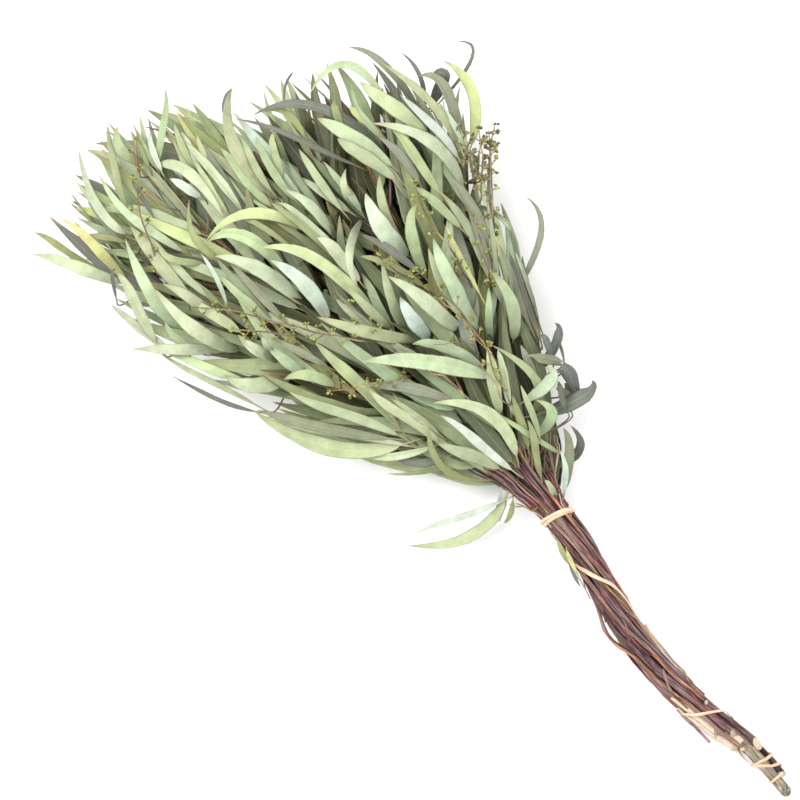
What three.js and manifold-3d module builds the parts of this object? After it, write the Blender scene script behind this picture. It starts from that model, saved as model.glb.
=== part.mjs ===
// A bunch of dried willow eucalyptus lying on a table: thirteen leafy stems,
// a tie of twisted fibre round the neck and a raffia strand wound down the stems.
// Millimetres. While it is built, +X runs from the cut ends to the leaf tips,
// +Y across the bunch and +Z up from the table. The last group moves the origin
// under the middle of the bunch.
import * as THREE from "three";
import * as BufferGeometryUtils from "three/addons/utils/BufferGeometryUtils.js";
import Module from "manifold-3d";

const wasm = await Module();
wasm.setup();

// ---------------------------------------------------------------- driving sizes
const NECK_X = 267; // from the longest cut end to the tie
const BOW_START_X = 15; // the bundle of stems bows sideways from here to the neck
const BOW = 15.5; // by this much
const BUTT_Z = 11.5; // height of the bundle's middle at the cut ends
const CROWN_Z = 62; // and in the thick of the leaves
const CROWN_X = 560; // where it gets there
const GAP = 0.35; // least clearance between separate pieces

// The stems stand in the bundle as one in the middle, six round it and six
// thinner ones in the grooves outside.
const RING_DISTANCE = 7.5;
const OUTER_DISTANCE = 9.95;
const TWIST_NEAR_NECK = THREE.MathUtils.degToRad(115);
const TWIST_LENGTH = 150;
const TWIST_REST = THREE.MathUtils.degToRad(20);
const FAN_SLOPE = 0.45; // how fast the stems part sideways above the neck
const RISE_SLOPE = 0.155; // and upward
const FAN_START = 60; // over this length they begin to part
const STEM_SIDES = 6;
const STEM_TIP_RADIUS = 1.0;

// Each stem: its place in the bundle (degrees round it at the neck), its
// radius at the cut, and where its cut end and its last leaf are.
const STEMS = [
  { at: "middle", angle: 0, radius: 4.0, cut: 0, end: 628 },
  { at: "ring", angle: 30, radius: 2.9, cut: 36, end: 612 },
  { at: "ring", angle: 90, radius: 3.1, cut: 9, end: 618 },
  { at: "ring", angle: 150, radius: 2.7, cut: 21, end: 575 },
  { at: "ring", angle: 210, radius: 3.0, cut: 47, end: 570 },
  { at: "ring", angle: 270, radius: 3.0, cut: 66, end: 600 },
  { at: "ring", angle: 330, radius: 2.8, cut: 57, end: 615 },
  { at: "outer", angle: 0, radius: 1.6, cut: 88, end: 618 },
  { at: "outer", angle: 60, radius: 1.4, cut: 104, end: 608 },
  { at: "outer", angle: 120, radius: 1.6, cut: 30, end: 585 },
  { at: "outer", angle: 180, radius: 1.5, cut: 74, end: 568 },
  { at: "outer", angle: 240, radius: 1.4, cut: 64, end: 560 },
  { at: "outer", angle: 300, radius: 1.6, cut: 44, end: 600 },
];
const BOWED_STEM = 12; // this one springs out of the bundle for a stretch
const BOWED_FROM = 140;
const BOWED_TO = 202;
const BOWED_OUT = 7;

// The crown seen from above: its left and right edges, as [x, y].
const LEFT_EDGE = [
  [267, 12], [316, 24], [372, 65], [428, 115], [530, 155],
  [600, 164], [676, 160], [704, 101], [712, 62],
];
const RIGHT_EDGE = [
  [267, -12], [310, -48], [328, -78], [380, -84], [427, -106],
  [520, -144], [567, -169], [632, -103], [666, -16], [700, 40], [712, 58],
];
const CROWN_THIN = 12; // half its thickness at the neck
const CROWN_THICK = 66; // added to that half, in the thick of the leaves
const CROWN_SWELL = 110; // over about this length
const TIP_THINNING = 0.35; // and the share lost again towards the tips
const CROWN_POWER = 2.6; // its cross-section: 2 would be an ellipse, more is flatter

// Leaves: long sickles on short stalks, flat above with a keel below.
const LEAF_LENGTH = [84, 128];
const LEAF_HALF_WIDTH = [4.6, 7.4];
const LEAF_KEEL = 1.3;
const STALK_HALF_WIDTH = 0.75;
const STALK_SHARE = 0.1;
const STALK_END = 0.12; // past here the blade keeps clear of its own stem too
const FOOT_HALF_WIDTH = 0.45; // the stalk's foot, sunk in the twig
const FOOT_KEEL = 0.5;
const LEAF_TURNS = 10; // places tried for each leaf before it is left out
const TWIGS_PER_STEM = 5;
const TWIG_SIDES = 4;
const FLOWER_TWIG = 2; // of each stem's twigs, this one bears buds and no leaves
const BUD_RADIUS = 1.9;

// ------------------------------------------------------------- small helpers
const v3 = (x, y, z) => new THREE.Vector3(x, y, z);
const mix = (a, b, t) => a + (b - a) * t;
const clamp01 = (t) => Math.min(1, Math.max(0, t));
const smooth = (t) => clamp01(t) ** 2 * (3 - 2 * clamp01(t));

function along(points, x) {
  if (x <= points[0][0]) return points[0][1];
  for (let i = 1; i < points.length; i += 1) {
    const [x0, y0] = points[i - 1];
    const [x1, y1] = points[i];
    if (x <= x1) return mix(y0, y1, (x - x0) / (x1 - x0));
  }
  return points[points.length - 1][1];
}

// Repeatable draws between 0 and 1, a fresh row of them for each set of keys.
function draws(...keys) {
  let state = 0x9e3779b9;
  for (const key of keys) {
    state = Math.imul(state ^ (key + 0x7f4a7c15), 0x85ebca6b);
    state ^= state >>> 13;
  }
  return () => {
    state = (state + 0x6d2b79f5) | 0;
    let t = Math.imul(state ^ (state >>> 15), 1 | state);
    t = (t + Math.imul(t ^ (t >>> 7), 61 | t)) ^ t;
    return ((t ^ (t >>> 14)) >>> 0) / 4294967296;
  };
}

// ------------------------------------------------------- the run of the bunch
function axisY(x) {
  if (x < BOW_START_X || x > NECK_X) return 0;
  return BOW * Math.sin((Math.PI * (x - BOW_START_X)) / (NECK_X - BOW_START_X)) ** 2;
}

function axisZ(x) {
  return BUTT_Z + (CROWN_Z - BUTT_Z) * smooth(x / CROWN_X);
}

function spread(slope, x) {
  const past = Math.max(0, x - NECK_X);
  const parted = past - FAN_START * (1 - Math.exp(-past / FAN_START));
  return 1 + (slope * parted) / OUTER_DISTANCE;
}

function stemAngle(stem, x) {
  const below = Math.max(0, NECK_X - x);
  return (
    THREE.MathUtils.degToRad(stem.angle) +
    TWIST_NEAR_NECK * smooth(below / TWIST_LENGTH) +
    (TWIST_REST * below) / NECK_X
  );
}

function stemDistance(stem, x) {
  if (stem.at === "middle") return 0;
  const home = stem.at === "ring" ? RING_DISTANCE : OUTER_DISTANCE;
  if (STEMS.indexOf(stem) !== BOWED_STEM || x < BOWED_FROM || x > BOWED_TO) return home;
  return home + BOWED_OUT * Math.sin((Math.PI * (x - BOWED_FROM)) / (BOWED_TO - BOWED_FROM)) ** 2;
}

function stemPoint(stem, x) {
  const turn = stemAngle(stem, x);
  const distance = stemDistance(stem, x);
  return v3(
    x,
    axisY(x) + distance * Math.cos(turn) * spread(FAN_SLOPE, x),
    axisZ(x) + distance * Math.sin(turn) * spread(RISE_SLOPE, x),
  );
}

function stemRadius(stem, x) {
  const atNeck = stem.radius * 0.78;
  if (x < NECK_X) return mix(stem.radius, atNeck, x / NECK_X);
  return mix(atNeck, STEM_TIP_RADIUS, clamp01((x - NECK_X) / (stem.end - NECK_X)));
}

// The way the bunch runs at a point: the direction of a stem that passes there.
function runAt(point) {
  const step = 1;
  const p = (point.y - axisY(point.x)) / spread(FAN_SLOPE, point.x);
  const q = (point.z - axisZ(point.x)) / spread(RISE_SLOPE, point.x);
  const x = point.x + step;
  const next = v3(
    x,
    axisY(x) + p * spread(FAN_SLOPE, x),
    axisZ(x) + q * spread(RISE_SLOPE, x),
  );
  return next.sub(point).normalize();
}

// The crown's outer surface: its middle, half-width and half-thickness at x.
function crownAt(x) {
  const left = along(LEFT_EDGE, x);
  const right = along(RIGHT_EDGE, x);
  const swell = 1 - Math.exp(-Math.max(0, x - NECK_X) / CROWN_SWELL);
  const thinning = 1 - TIP_THINNING * smooth((x - CROWN_X) / 150);
  return {
    y: (left + right) / 2,
    z: axisZ(x),
    wide: Math.max(1, (left - right) / 2),
    thick: (CROWN_THIN + CROWN_THICK * swell) * thinning,
  };
}

// How far out a point is: 0 in the middle of the crown, 1 on its surface.
function outness(point) {
  const crown = crownAt(point.x);
  const across = Math.abs(point.y - crown.y) / crown.wide;
  const up = Math.abs(point.z - crown.z) / crown.thick;
  return (across ** CROWN_POWER + up ** CROWN_POWER) ** (1 / CROWN_POWER);
}

// The height of the crown's upper surface, and of what hangs out past its edge.
function crownTop(x, y) {
  const crown = crownAt(x);
  const across = Math.abs(y - crown.y) / crown.wide;
  if (across > 0.98) return (crown.z + 0.2 * crown.thick) * Math.max(0.15, 1.49 - 0.5 * across);
  return crown.z + crown.thick * (1 - across ** CROWN_POWER) ** (1 / CROWN_POWER);
}

// ------------------------------------------------------------- closed shapes
// A closed skin over rows of points that all turn the same way round.
function loft(rings, tip, diagonals = []) {
  const sides = rings[0].length;
  const points = rings.flat();
  const faces = [];
  for (let j = 1; j < sides - 1; j += 1) faces.push([0, j + 1, j]);
  for (let i = 0; i + 1 < rings.length; i += 1) {
    for (let j = 0; j < sides; j += 1) {
      const k = (j + 1) % sides;
      const [a, b, c, d] = [i * sides + j, i * sides + k, (i + 1) * sides + k, (i + 1) * sides + j];
      const other = j === 0 ? diagonals[i] : !diagonals[i];
      if (diagonals.length > 0 && other) faces.push([a, b, d], [b, c, d]);
      else faces.push([a, b, c], [a, c, d]);
    }
  }
  const last = (rings.length - 1) * sides;
  points.push(tip);
  for (let j = 0; j < sides; j += 1) {
    faces.push([last + j, last + ((j + 1) % sides), points.length - 1]);
  }
  return solid(points, faces);
}

// A closed band: the last row joins the first.
function hoop(rings) {
  const sides = rings[0].length;
  const faces = [];
  for (let i = 0; i < rings.length; i += 1) {
    const next = ((i + 1) % rings.length) * sides;
    for (let j = 0; j < sides; j += 1) {
      const k = (j + 1) % sides;
      faces.push([i * sides + j, i * sides + k, next + k]);
      faces.push([i * sides + j, next + k, next + j]);
    }
  }
  return solid(rings.flat(), faces);
}

function solid(points, faces) {
  const vertProperties = new Float32Array(points.flatMap((p) => [p.x, p.y, p.z]));
  const triVerts = new Uint32Array(faces.flat());
  return new wasm.Manifold(new wasm.Mesh({ numProp: 3, vertProperties, triVerts }));
}

function solidOf(geometry) {
  geometry.deleteAttribute("normal");
  geometry.deleteAttribute("uv");
  const merged = BufferGeometryUtils.mergeVertices(geometry);
  const triVerts = new Uint32Array(merged.index.array);
  const vertProperties = new Float32Array(merged.attributes.position.array);
  return new wasm.Manifold(new wasm.Mesh({ numProp: 3, vertProperties, triVerts }));
}

// A tapering tube along points, pointed at its end.
function tube(points, radii, sides) {
  const rings = [];
  const side = v3(0, 1, 0);
  for (let i = 0; i + 1 < points.length; i += 1) {
    const before = points[Math.max(0, i - 1)];
    const run = points[i + 1].clone().sub(before).normalize();
    const u = side.clone().addScaledVector(run, -side.dot(run)).normalize();
    const w = run.clone().cross(u);
    const ring = [];
    for (let j = 0; j < sides; j += 1) {
      const turn = (2 * Math.PI * j) / sides;
      ring.push(
        points[i].clone()
          .addScaledVector(u, radii[i] * Math.cos(turn))
          .addScaledVector(w, radii[i] * Math.sin(turn)),
      );
    }
    rings.push(ring);
  }
  return loft(rings, points[points.length - 1]);
}

// ---------------------------------------------------------------- one leaf
// Its midrib is a curve from the root by the belly to the tip. The face looks
// along `facing`, rolled by `roll` and wound by `wind` over its length.
function leafCurve(leaf) {
  return new THREE.QuadraticBezierCurve3(leaf.root, leaf.belly, leaf.tip);
}

function leafWidth(leaf, t) {
  const u = clamp01((t - STALK_SHARE) / (1 - STALK_SHARE));
  const blade = 3.755 * u ** 0.75 * (1 - u) ** 1.25;
  return Math.max(STALK_HALF_WIDTH, leaf.halfWidth * blade);
}

function leafSection(leaf, t) {
  const curve = leafCurve(leaf);
  const middle = curve.getPoint(t);
  const run = curve.getTangent(t);
  const side = run.clone().cross(leaf.facing).normalize();
  const up = side.clone().cross(run);
  const roll = leaf.roll + leaf.wind * (t - 0.5);
  const across = side.clone().multiplyScalar(Math.cos(roll)).addScaledVector(up, Math.sin(roll));
  const normal = up.clone().multiplyScalar(Math.cos(roll)).addScaledVector(side, -Math.sin(roll));
  const width = t === 0 ? FOOT_HALF_WIDTH : leafWidth(leaf, t);
  const keel = t === 0 ? FOOT_KEEL : LEAF_KEEL;
  const ring = [
    middle.clone().addScaledVector(across, -width),
    middle.clone().addScaledVector(across, width),
    middle.clone().addScaledVector(normal, -keel),
  ];
  const below = Math.min(...ring.map((p) => p.z));
  if (below < 0) for (const p of ring) p.z -= below;
  return { ring, across, normal };
}

function leafSolid(leaf, stations) {
  const sections = stations.map((t) => leafSection(leaf, t));
  const diagonals = [];
  for (let i = 0; i + 1 < sections.length; i += 1) {
    const turn = sections[i + 1].across.clone().sub(sections[i].across);
    diagonals.push(turn.dot(sections[i].normal) < 0);
  }
  const tip = leaf.tip.clone();
  tip.z = Math.max(0, tip.z);
  return loft(sections.map((s) => s.ring), tip, diagonals);
}

// --------------------------------------------------- what stands in the way
// Every piece laid so far, with the stem that it belongs to.
const laid = [];

function boxesMeet(a, b) {
  return [0, 1, 2].every((k) => a.min[k] - GAP < b.max[k] && b.min[k] - GAP < a.max[k]);
}

function isClear(shape, owner, own) {
  const box = shape.boundingBox();
  for (const other of laid) {
    if ((other.owner === owner) !== own || !boxesMeet(box, other.box)) continue;
    if (shape.minGap(other.shape, GAP) < GAP * 0.9) return false;
  }
  return true;
}

function lay(shape, owner) {
  laid.push({ shape, owner, box: shape.boundingBox() });
}

// ------------------------------------------------------------------- stems
// The skeleton holds points along every stem and twig where a leaf may root.
const skeleton = [];
const BUNDLE_STEP = 30; // the stems bend at the same places below the neck
const STEM_STEPS = 8; // above it, closer where they fan out
const BOWED_STEPS = 6;
const SKELETON_START = 300;
const SKELETON_STEP = 6;

function stemStations(stem) {
  const steps = [...Array(STEM_STEPS).keys()];
  const below = [stem.cut, ...steps.map((i) => (i + 1) * BUNDLE_STEP)]
    .filter((x, i) => i === 0 || x > stem.cut + 6);
  const above = steps.map((i) => mix(NECK_X, stem.end, (i / STEM_STEPS) ** 1.5));
  if (STEMS.indexOf(stem) !== BOWED_STEM) return [...below, ...above, stem.end];
  const bowed = [...Array(BOWED_STEPS + 1).keys()]
    .map((i) => mix(BOWED_FROM, BOWED_TO, i / BOWED_STEPS));
  const rest = [...below, ...above, stem.end].filter((x) => x < BOWED_FROM - 6 || x > BOWED_TO + 6);
  return [...rest, ...bowed].sort((a, b) => a - b);
}

// A point on the straight runs between the stations of a stem or twig.
function onLine(points, keys, key) {
  let i = 1;
  while (i < keys.length - 1 && key > keys[i]) i += 1;
  return points[i - 1].clone().lerp(points[i], (key - keys[i - 1]) / (keys[i] - keys[i - 1]));
}

function onStem(stem, x) {
  const xs = stemStations(stem);
  return onLine(xs.map((at) => stemPoint(stem, at)), xs, x);
}

STEMS.forEach((stem, owner) => {
  const xs = stemStations(stem);
  const points = xs.map((x) => stemPoint(stem, x));
  const radii = xs.map((x) => stemRadius(stem, x));
  lay(tube(points, radii, STEM_SIDES), owner);
  for (let step = 0; SKELETON_START + step * SKELETON_STEP < stem.end - 8; step += 1) {
    const point = onLine(points, xs, SKELETON_START + step * SKELETON_STEP);
    skeleton.push({ owner, twig: -1, point, step });
  }
});

// ------------------------------------------------------------------- twigs
// A twig leaves its stem at a slant and bends into the run of the bunch.
function twigRoute(stem, owner, index, turn) {
  const draw = draws(1, owner, index, turn);
  const x = mix(296, stem.end - 30, (index + 0.25 + 0.5 * draw()) / TWIGS_PER_STEM);
  const root = onStem(stem, x);
  const run = runAt(root);
  const facing = (index + owner) % 2 === 0 ? 1 : -1;
  const swing = facing * mix(0.1, 1.0, draw()) * (draw() < 0.5 ? 1 : -1);
  const sideways = v3(0, facing * Math.cos(swing), Math.sin(swing));
  sideways.addScaledVector(run, -sideways.dot(run)).normalize();
  const slant = mix(0.45, 0.75, draw());
  const length = mix(62, 118, draw());
  const start = run.clone().multiplyScalar(Math.cos(slant))
    .addScaledVector(sideways, Math.sin(slant));
  const bend = root.clone().addScaledVector(start, 0.45 * length);
  const finish = runAt(bend).addScaledVector(sideways, 0.18).normalize();
  const end = bend.clone().addScaledVector(finish, 0.6 * length);
  return new THREE.QuadraticBezierCurve3(root, bend, end);
}

const TWIG_STATIONS = [0, 0.15, 0.55, 1];
const TWIG_RADII = [0.6, 1.35, 1.2, 0.95];
const TWIG_STEPS = 16;
const TWIG_TURNS = 24;
const BUD_STEPS = [8, 13];

// Buds sit along a flower twig, to one side and the other.
function bud(point, run, index) {
  const side = run.clone().cross(v3(0, 0, 1)).normalize();
  const offset = index % 2 === 0 ? 1 : -1;
  const shape = new THREE.OctahedronGeometry(BUD_RADIUS);
  const middle = point.clone().addScaledVector(side, 0.5 * offset * BUD_RADIUS);
  return solidOf(shape.translate(middle.x, middle.y, middle.z + 0.3 * BUD_RADIUS));
}

function growTwig(stem, owner, index) {
  for (let turn = 0; turn < TWIG_TURNS; turn += 1) {
    const curve = twigRoute(stem, owner, index, turn);
    const end = curve.v2;
    if (outness(end) > 0.86 || end.z < 6) continue;
    const points = TWIG_STATIONS.map((t) => curve.getPoint(t));
    const shape = tube(points, TWIG_RADII, TWIG_SIDES);
    if (!isClear(shape, owner, false)) continue;
    lay(shape, owner);
    const at = (step) => onLine(points, TWIG_STATIONS, step / TWIG_STEPS);
    for (let step = 2; step < TWIG_STEPS - 1; step += 1) {
      if (index !== FLOWER_TWIG) skeleton.push({ owner, twig: index, point: at(step), step });
    }
    if (index === FLOWER_TWIG) {
      BUD_STEPS.forEach((step, i) => {
        layBud(bud(at(step), curve.getTangent(step / TWIG_STEPS), i), owner);
      });
    }
    return;
  }
}

function layBud(shape, owner) {
  if (isClear(shape, owner, false)) lay(shape, owner);
}

for (let index = 0; index < TWIGS_PER_STEM; index += 1) {
  STEMS.forEach((stem, owner) => growTwig(stem, owner, index));
}

// ------------------------------------------------------------- seen leaves
// The leaves that lie uppermost and round the edge of the crown, as a picture
// from straight above shows them: tip, a point halfway, root and full width in
// picture points. PICTURE gives the size of one point and where the cut ends lie.
const PICTURE = { millimetres: 0.74, cutEnd: [790, 795], along: [-0.64, -0.768] };

function fromPicture([u, v]) {
  const du = (u - PICTURE.cutEnd[0]) * PICTURE.millimetres;
  const dv = (v - PICTURE.cutEnd[1]) * PICTURE.millimetres;
  const [a, b] = PICTURE.along;
  return [a * du + b * dv, b * du - a * dv];
}

const SEEN_LEAVES = [
  { tip: [33, 254], half: [80, 268], root: [118, 313], wide: 13 },
  { tip: [33, 232], half: [62, 248], root: [104, 285], wide: 9 },
  { tip: [64, 219], half: [100, 250], root: [133, 283], wide: 11 },
  { tip: [75, 144], half: [103, 212], root: [130, 262], wide: 10 },
  { tip: [102, 176], half: [142, 225], root: [185, 283], wide: 10 },
  { tip: [111, 127], half: [117, 165], root: [145, 210], wide: 9 },
  { tip: [120, 128], half: [127, 155], root: [141, 177], wide: 12 },
  { tip: [226, 220], half: [193, 177], root: [142, 178], wide: 12 },
  { tip: [165, 88], half: [166, 128], root: [182, 165], wide: 8 },
  { tip: [233, 87], half: [238, 152], root: [285, 222], wide: 16 },
  { tip: [192, 201], half: [203, 247], root: [240, 285], wide: 8 },
  { tip: [160, 243], half: [178, 262], root: [207, 282], wide: 8 },
  { tip: [209, 243], half: [262, 216], root: [335, 248], wide: 12 },
  { tip: [210, 244], half: [250, 240], root: [300, 285], wide: 15 },
  { tip: [217, 258], half: [265, 273], root: [314, 318], wide: 14 },
  { tip: [272, 262], half: [308, 288], root: [343, 322], wide: 16 },
  { tip: [262, 250], half: [325, 267], root: [385, 332], wide: 14 },
  { tip: [254, 119], half: [325, 113], root: [414, 183], wide: 11 },
  { tip: [237, 122], half: [300, 143], root: [365, 180], wide: 6 },
  { tip: [310, 99], half: [350, 68], root: [402, 112], wide: 9 },
  { tip: [348, 48], half: [385, 68], root: [432, 105], wide: 8 },
  { tip: [352, 85], half: [368, 127], root: [400, 160], wide: 8 },
  { tip: [347, 172], half: [347, 195], root: [358, 215], wide: 9 },
  { tip: [380, 178], half: [384, 212], root: [410, 258], wide: 10 },
  { tip: [366, 196], half: [384, 233], root: [415, 267], wide: 20 },
  { tip: [360, 292], half: [351, 250], root: [364, 213], wide: 10 },
  { tip: [285, 192], half: [318, 214], root: [348, 243], wide: 13 },
  { tip: [400, 53], half: [420, 80], root: [447, 107], wide: 5 },
  { tip: [453, 42], half: [472, 58], root: [476, 90], wide: 4 },
  { tip: [442, 62], half: [472, 95], root: [487, 148], wide: 12 },
  { tip: [430, 80], half: [443, 82], root: [458, 92], wide: 13 },
  { tip: [418, 80], half: [447, 97], root: [474, 133], wide: 12 },
  { tip: [380, 65], half: [428, 104], root: [477, 168], wide: 10 },
  { tip: [372, 127], half: [433, 147], root: [481, 203], wide: 14 },
  { tip: [511, 238], half: [502, 220], root: [490, 205], wide: 6 },
  { tip: [526, 197], half: [540, 238], root: [526, 285], wide: 7 },
  { tip: [497, 245], half: [510, 280], root: [530, 320], wide: 6 },
  { tip: [131, 349], half: [180, 350], root: [232, 375], wide: 12 },
  { tip: [128, 240], half: [155, 298], root: [172, 346], wide: 14 },
  { tip: [158, 290], half: [203, 334], root: [245, 372], wide: 16 },
  { tip: [165, 285], half: [200, 305], root: [236, 328], wide: 13 },
  { tip: [240, 335], half: [262, 353], root: [280, 375], wide: 14 },
  { tip: [262, 335], half: [270, 350], root: [281, 368], wide: 8 },
  { tip: [226, 375], half: [260, 386], root: [292, 388], wide: 18 },
  { tip: [285, 380], half: [312, 376], root: [340, 390], wide: 12 },
  { tip: [160, 352], half: [205, 378], root: [258, 406], wide: 6 },
  { tip: [173, 376], half: [215, 398], root: [258, 411], wide: 5 },
  { tip: [255, 411], half: [328, 447], root: [405, 440], wide: 18 },
  { tip: [316, 343], half: [356, 381], root: [402, 432], wide: 14 },
  { tip: [363, 362], half: [430, 363], root: [498, 386], wide: 18 },
  { tip: [318, 318], half: [372, 334], root: [430, 348], wide: 12 },
  { tip: [400, 298], half: [414, 322], root: [432, 348], wide: 16 },
  { tip: [382, 262], half: [393, 304], root: [412, 342], wide: 12 },
  { tip: [345, 285], half: [370, 311], root: [395, 340], wide: 10 },
  { tip: [388, 278], half: [430, 307], root: [475, 333], wide: 16 },
  { tip: [433, 240], half: [454, 288], root: [490, 349], wide: 18 },
  { tip: [418, 205], half: [412, 240], root: [440, 288], wide: 13 },
  { tip: [488, 288], half: [488, 315], root: [495, 343], wide: 8 },
  { tip: [488, 270], half: [512, 308], root: [533, 350], wide: 14 },
  { tip: [555, 323], half: [557, 342], root: [562, 366], wide: 8 },
  { tip: [593, 380], half: [580, 398], root: [568, 420], wide: 12 },
  { tip: [535, 400], half: [551, 417], root: [573, 424], wide: 12 },
  { tip: [544, 367], half: [549, 381], root: [552, 395], wide: 11 },
  { tip: [570, 425], half: [579, 452], root: [568, 480], wide: 10 },
  { tip: [490, 345], half: [536, 382], root: [572, 417], wide: 10 },
  { tip: [487, 348], half: [493, 380], root: [504, 418], wide: 14 },
  { tip: [432, 403], half: [490, 415], root: [518, 470], wide: 14 },
  { tip: [437, 443], half: [470, 455], root: [500, 474], wide: 14 },
  { tip: [428, 420], half: [442, 466], root: [493, 488], wide: 9 },
  { tip: [388, 474], half: [425, 472], root: [465, 471], wide: 5 },
  { tip: [405, 547], half: [477, 534], root: [505, 490], wide: 10 },
  { tip: [417, 534], half: [455, 520], root: [497, 513], wide: 7 },
  { tip: [541, 482], half: [550, 489], root: [558, 497], wide: 6 },
];
const SEEN_HEIGHTS = [0, 4, -4, 8, -8, 12, -13, -18]; // tried one after the other
const SEEN_ROOTS = 6; // so many places on the skeleton are tried as its root
const SEEN_STATIONS = [0, 0.15, 0.4, 0.7];
const TURN_LIMIT = 0.35;

// The skeleton places nearest a seen root, the upper ones first.
function nearestPlaces(x, y, height) {
  const cost = (s) =>
    Math.hypot(s.point.x - x, s.point.y - y) + 0.45 * Math.abs(s.point.z - height);
  const best = skeleton.map((s, i) => ({ s, i, cost: cost(s) }));
  best.sort((a, b) => a.cost - b.cost || a.i - b.i);
  const chosen = [];
  for (const { s } of best) {
    if (chosen.length === SEEN_ROOTS) break;
    if (chosen.every((c) => c.point.distanceTo(s.point) > 9)) chosen.push(s);
  }
  return chosen;
}

function seenLeaf(seen, index, place, lift) {
  const draw = draws(2, index);
  const [tipX, tipY] = fromPicture(seen.tip);
  const [halfX, halfY] = fromPicture(seen.half);
  const tip = v3(tipX, tipY, Math.max(2, crownTop(tipX, tipY) - 3 + lift));
  const half = v3(halfX, halfY, Math.max(4, crownTop(halfX, halfY) + lift));
  const root = place.point;
  const ends = root.clone().add(tip).multiplyScalar(0.5);
  const belly = half.clone().multiplyScalar(2).sub(ends);
  const facing = v3(mix(-0.25, 0.25, draw()), mix(-0.35, 0.35, draw()), 1).normalize();
  const roll = mix(-TURN_LIMIT, TURN_LIMIT, draw());
  const wind = mix(-TURN_LIMIT, TURN_LIMIT, draw());
  return {
    root, belly, tip, facing, roll, wind,
    halfWidth: (seen.wide * PICTURE.millimetres) / 2,
  };
}

// A leaf is laid if its stalk is clear of other stems and its blade of everything.
function layLeaf(leaf, owner, steps) {
  const blade = leafSolid(leaf, [STALK_END, ...steps.slice(1).filter((t) => t > STALK_END)]);
  const whole = leafSolid(leaf, steps);
  const clear = isClear(whole, owner, false) && isClear(blade, owner, true);
  if (clear) laid.push({ shape: whole, owner, box: whole.boundingBox(), blade });
  return clear;
}

function laySeen(seen, index) {
  const [rootX, rootY] = fromPicture(seen.root);
  const places = nearestPlaces(rootX, rootY, crownTop(rootX, rootY) - 14);
  for (const place of places) {
    for (const lift of SEEN_HEIGHTS) {
      const leaf = seenLeaf(seen, index, place, lift);
      if (layLeaf(leaf, place.owner, SEEN_STATIONS)) return;
    }
  }
}

SEEN_LEAVES.forEach(laySeen);

// ------------------------------------------------------- seen flower twigs
// Thin twigs with buds that lie over the leaves, from root to end.
const SEEN_TWIGS = [
  [[400, 357], [350, 340], [285, 325], [228, 311], [202, 309]],
  [[320, 345], [275, 334], [243, 331]],
  [[425, 370], [385, 383], [340, 390]],
  [[500, 400], [497, 380], [482, 343], [455, 308], [420, 275]],
  [[480, 302], [455, 260], [425, 215], [415, 190]],
  [[490, 290], [487, 270], [475, 225]],
  [[420, 288], [400, 275], [383, 262]],
  [[395, 353], [370, 325], [345, 305]],
  [[487, 250], [491, 215], [490, 180], [489, 142]],
  [[175, 300], [155, 250], [142, 205], [140, 150]],
];
const SEEN_TWIG_HEIGHTS = [3, 6, 9, 13, 17, 0, -5, 22];
const SEEN_TWIG_RADIUS = 0.95;

function seenTwig(picture, place, lift) {
  return picture.map((at, i) => {
    const [x, y] = fromPicture(at);
    return i === 0 ? place.point.clone() : v3(x, y, crownTop(x, y) + lift);
  });
}

function laySeenTwig(picture) {
  const [rootX, rootY] = fromPicture(picture[0]);
  for (const place of nearestPlaces(rootX, rootY, crownTop(rootX, rootY) - 10)) {
    for (const lift of SEEN_TWIG_HEIGHTS) {
      const points = seenTwig(picture, place, lift);
      const shape = tube(points, points.map(() => SEEN_TWIG_RADIUS), TWIG_SIDES);
      const bare = tube(points.slice(1), points.slice(1).map(() => SEEN_TWIG_RADIUS), TWIG_SIDES);
      if (!isClear(shape, place.owner, false) || !isClear(bare, place.owner, true)) continue;
      lay(shape, place.owner);
      for (let i = 1; i < points.length; i += 1) {
        const run = points[i].clone().sub(points[i - 1]).normalize();
        const half = points[i].clone().add(points[i - 1]).multiplyScalar(0.5);
        const last = points[i].clone().addScaledVector(run, -BUD_RADIUS);
        layBud(bud(i === points.length - 1 ? last : half, run, i), place.owner);
      }
      return;
    }
  }
}

SEEN_TWIGS.forEach(laySeenTwig);

// --------------------------------------------------------- the other leaves
// They grow all along the stems and twigs, out and forward with the run of the
// bunch, to every side, and stay inside the crown's surface.
const GROWN_STATIONS = [0, 0.33, 0.68];
const LEAF_EVERY = 4; // skeleton steps from one leaf to the next
const TIP_INNERMOST = 0.5; // how far out towards the crown's surface the tips lie
const TIP_OUTERMOST = 0.94;
const TIP_PRESSED = 10; // leaves that would reach this far below the table are bent up by it

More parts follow.
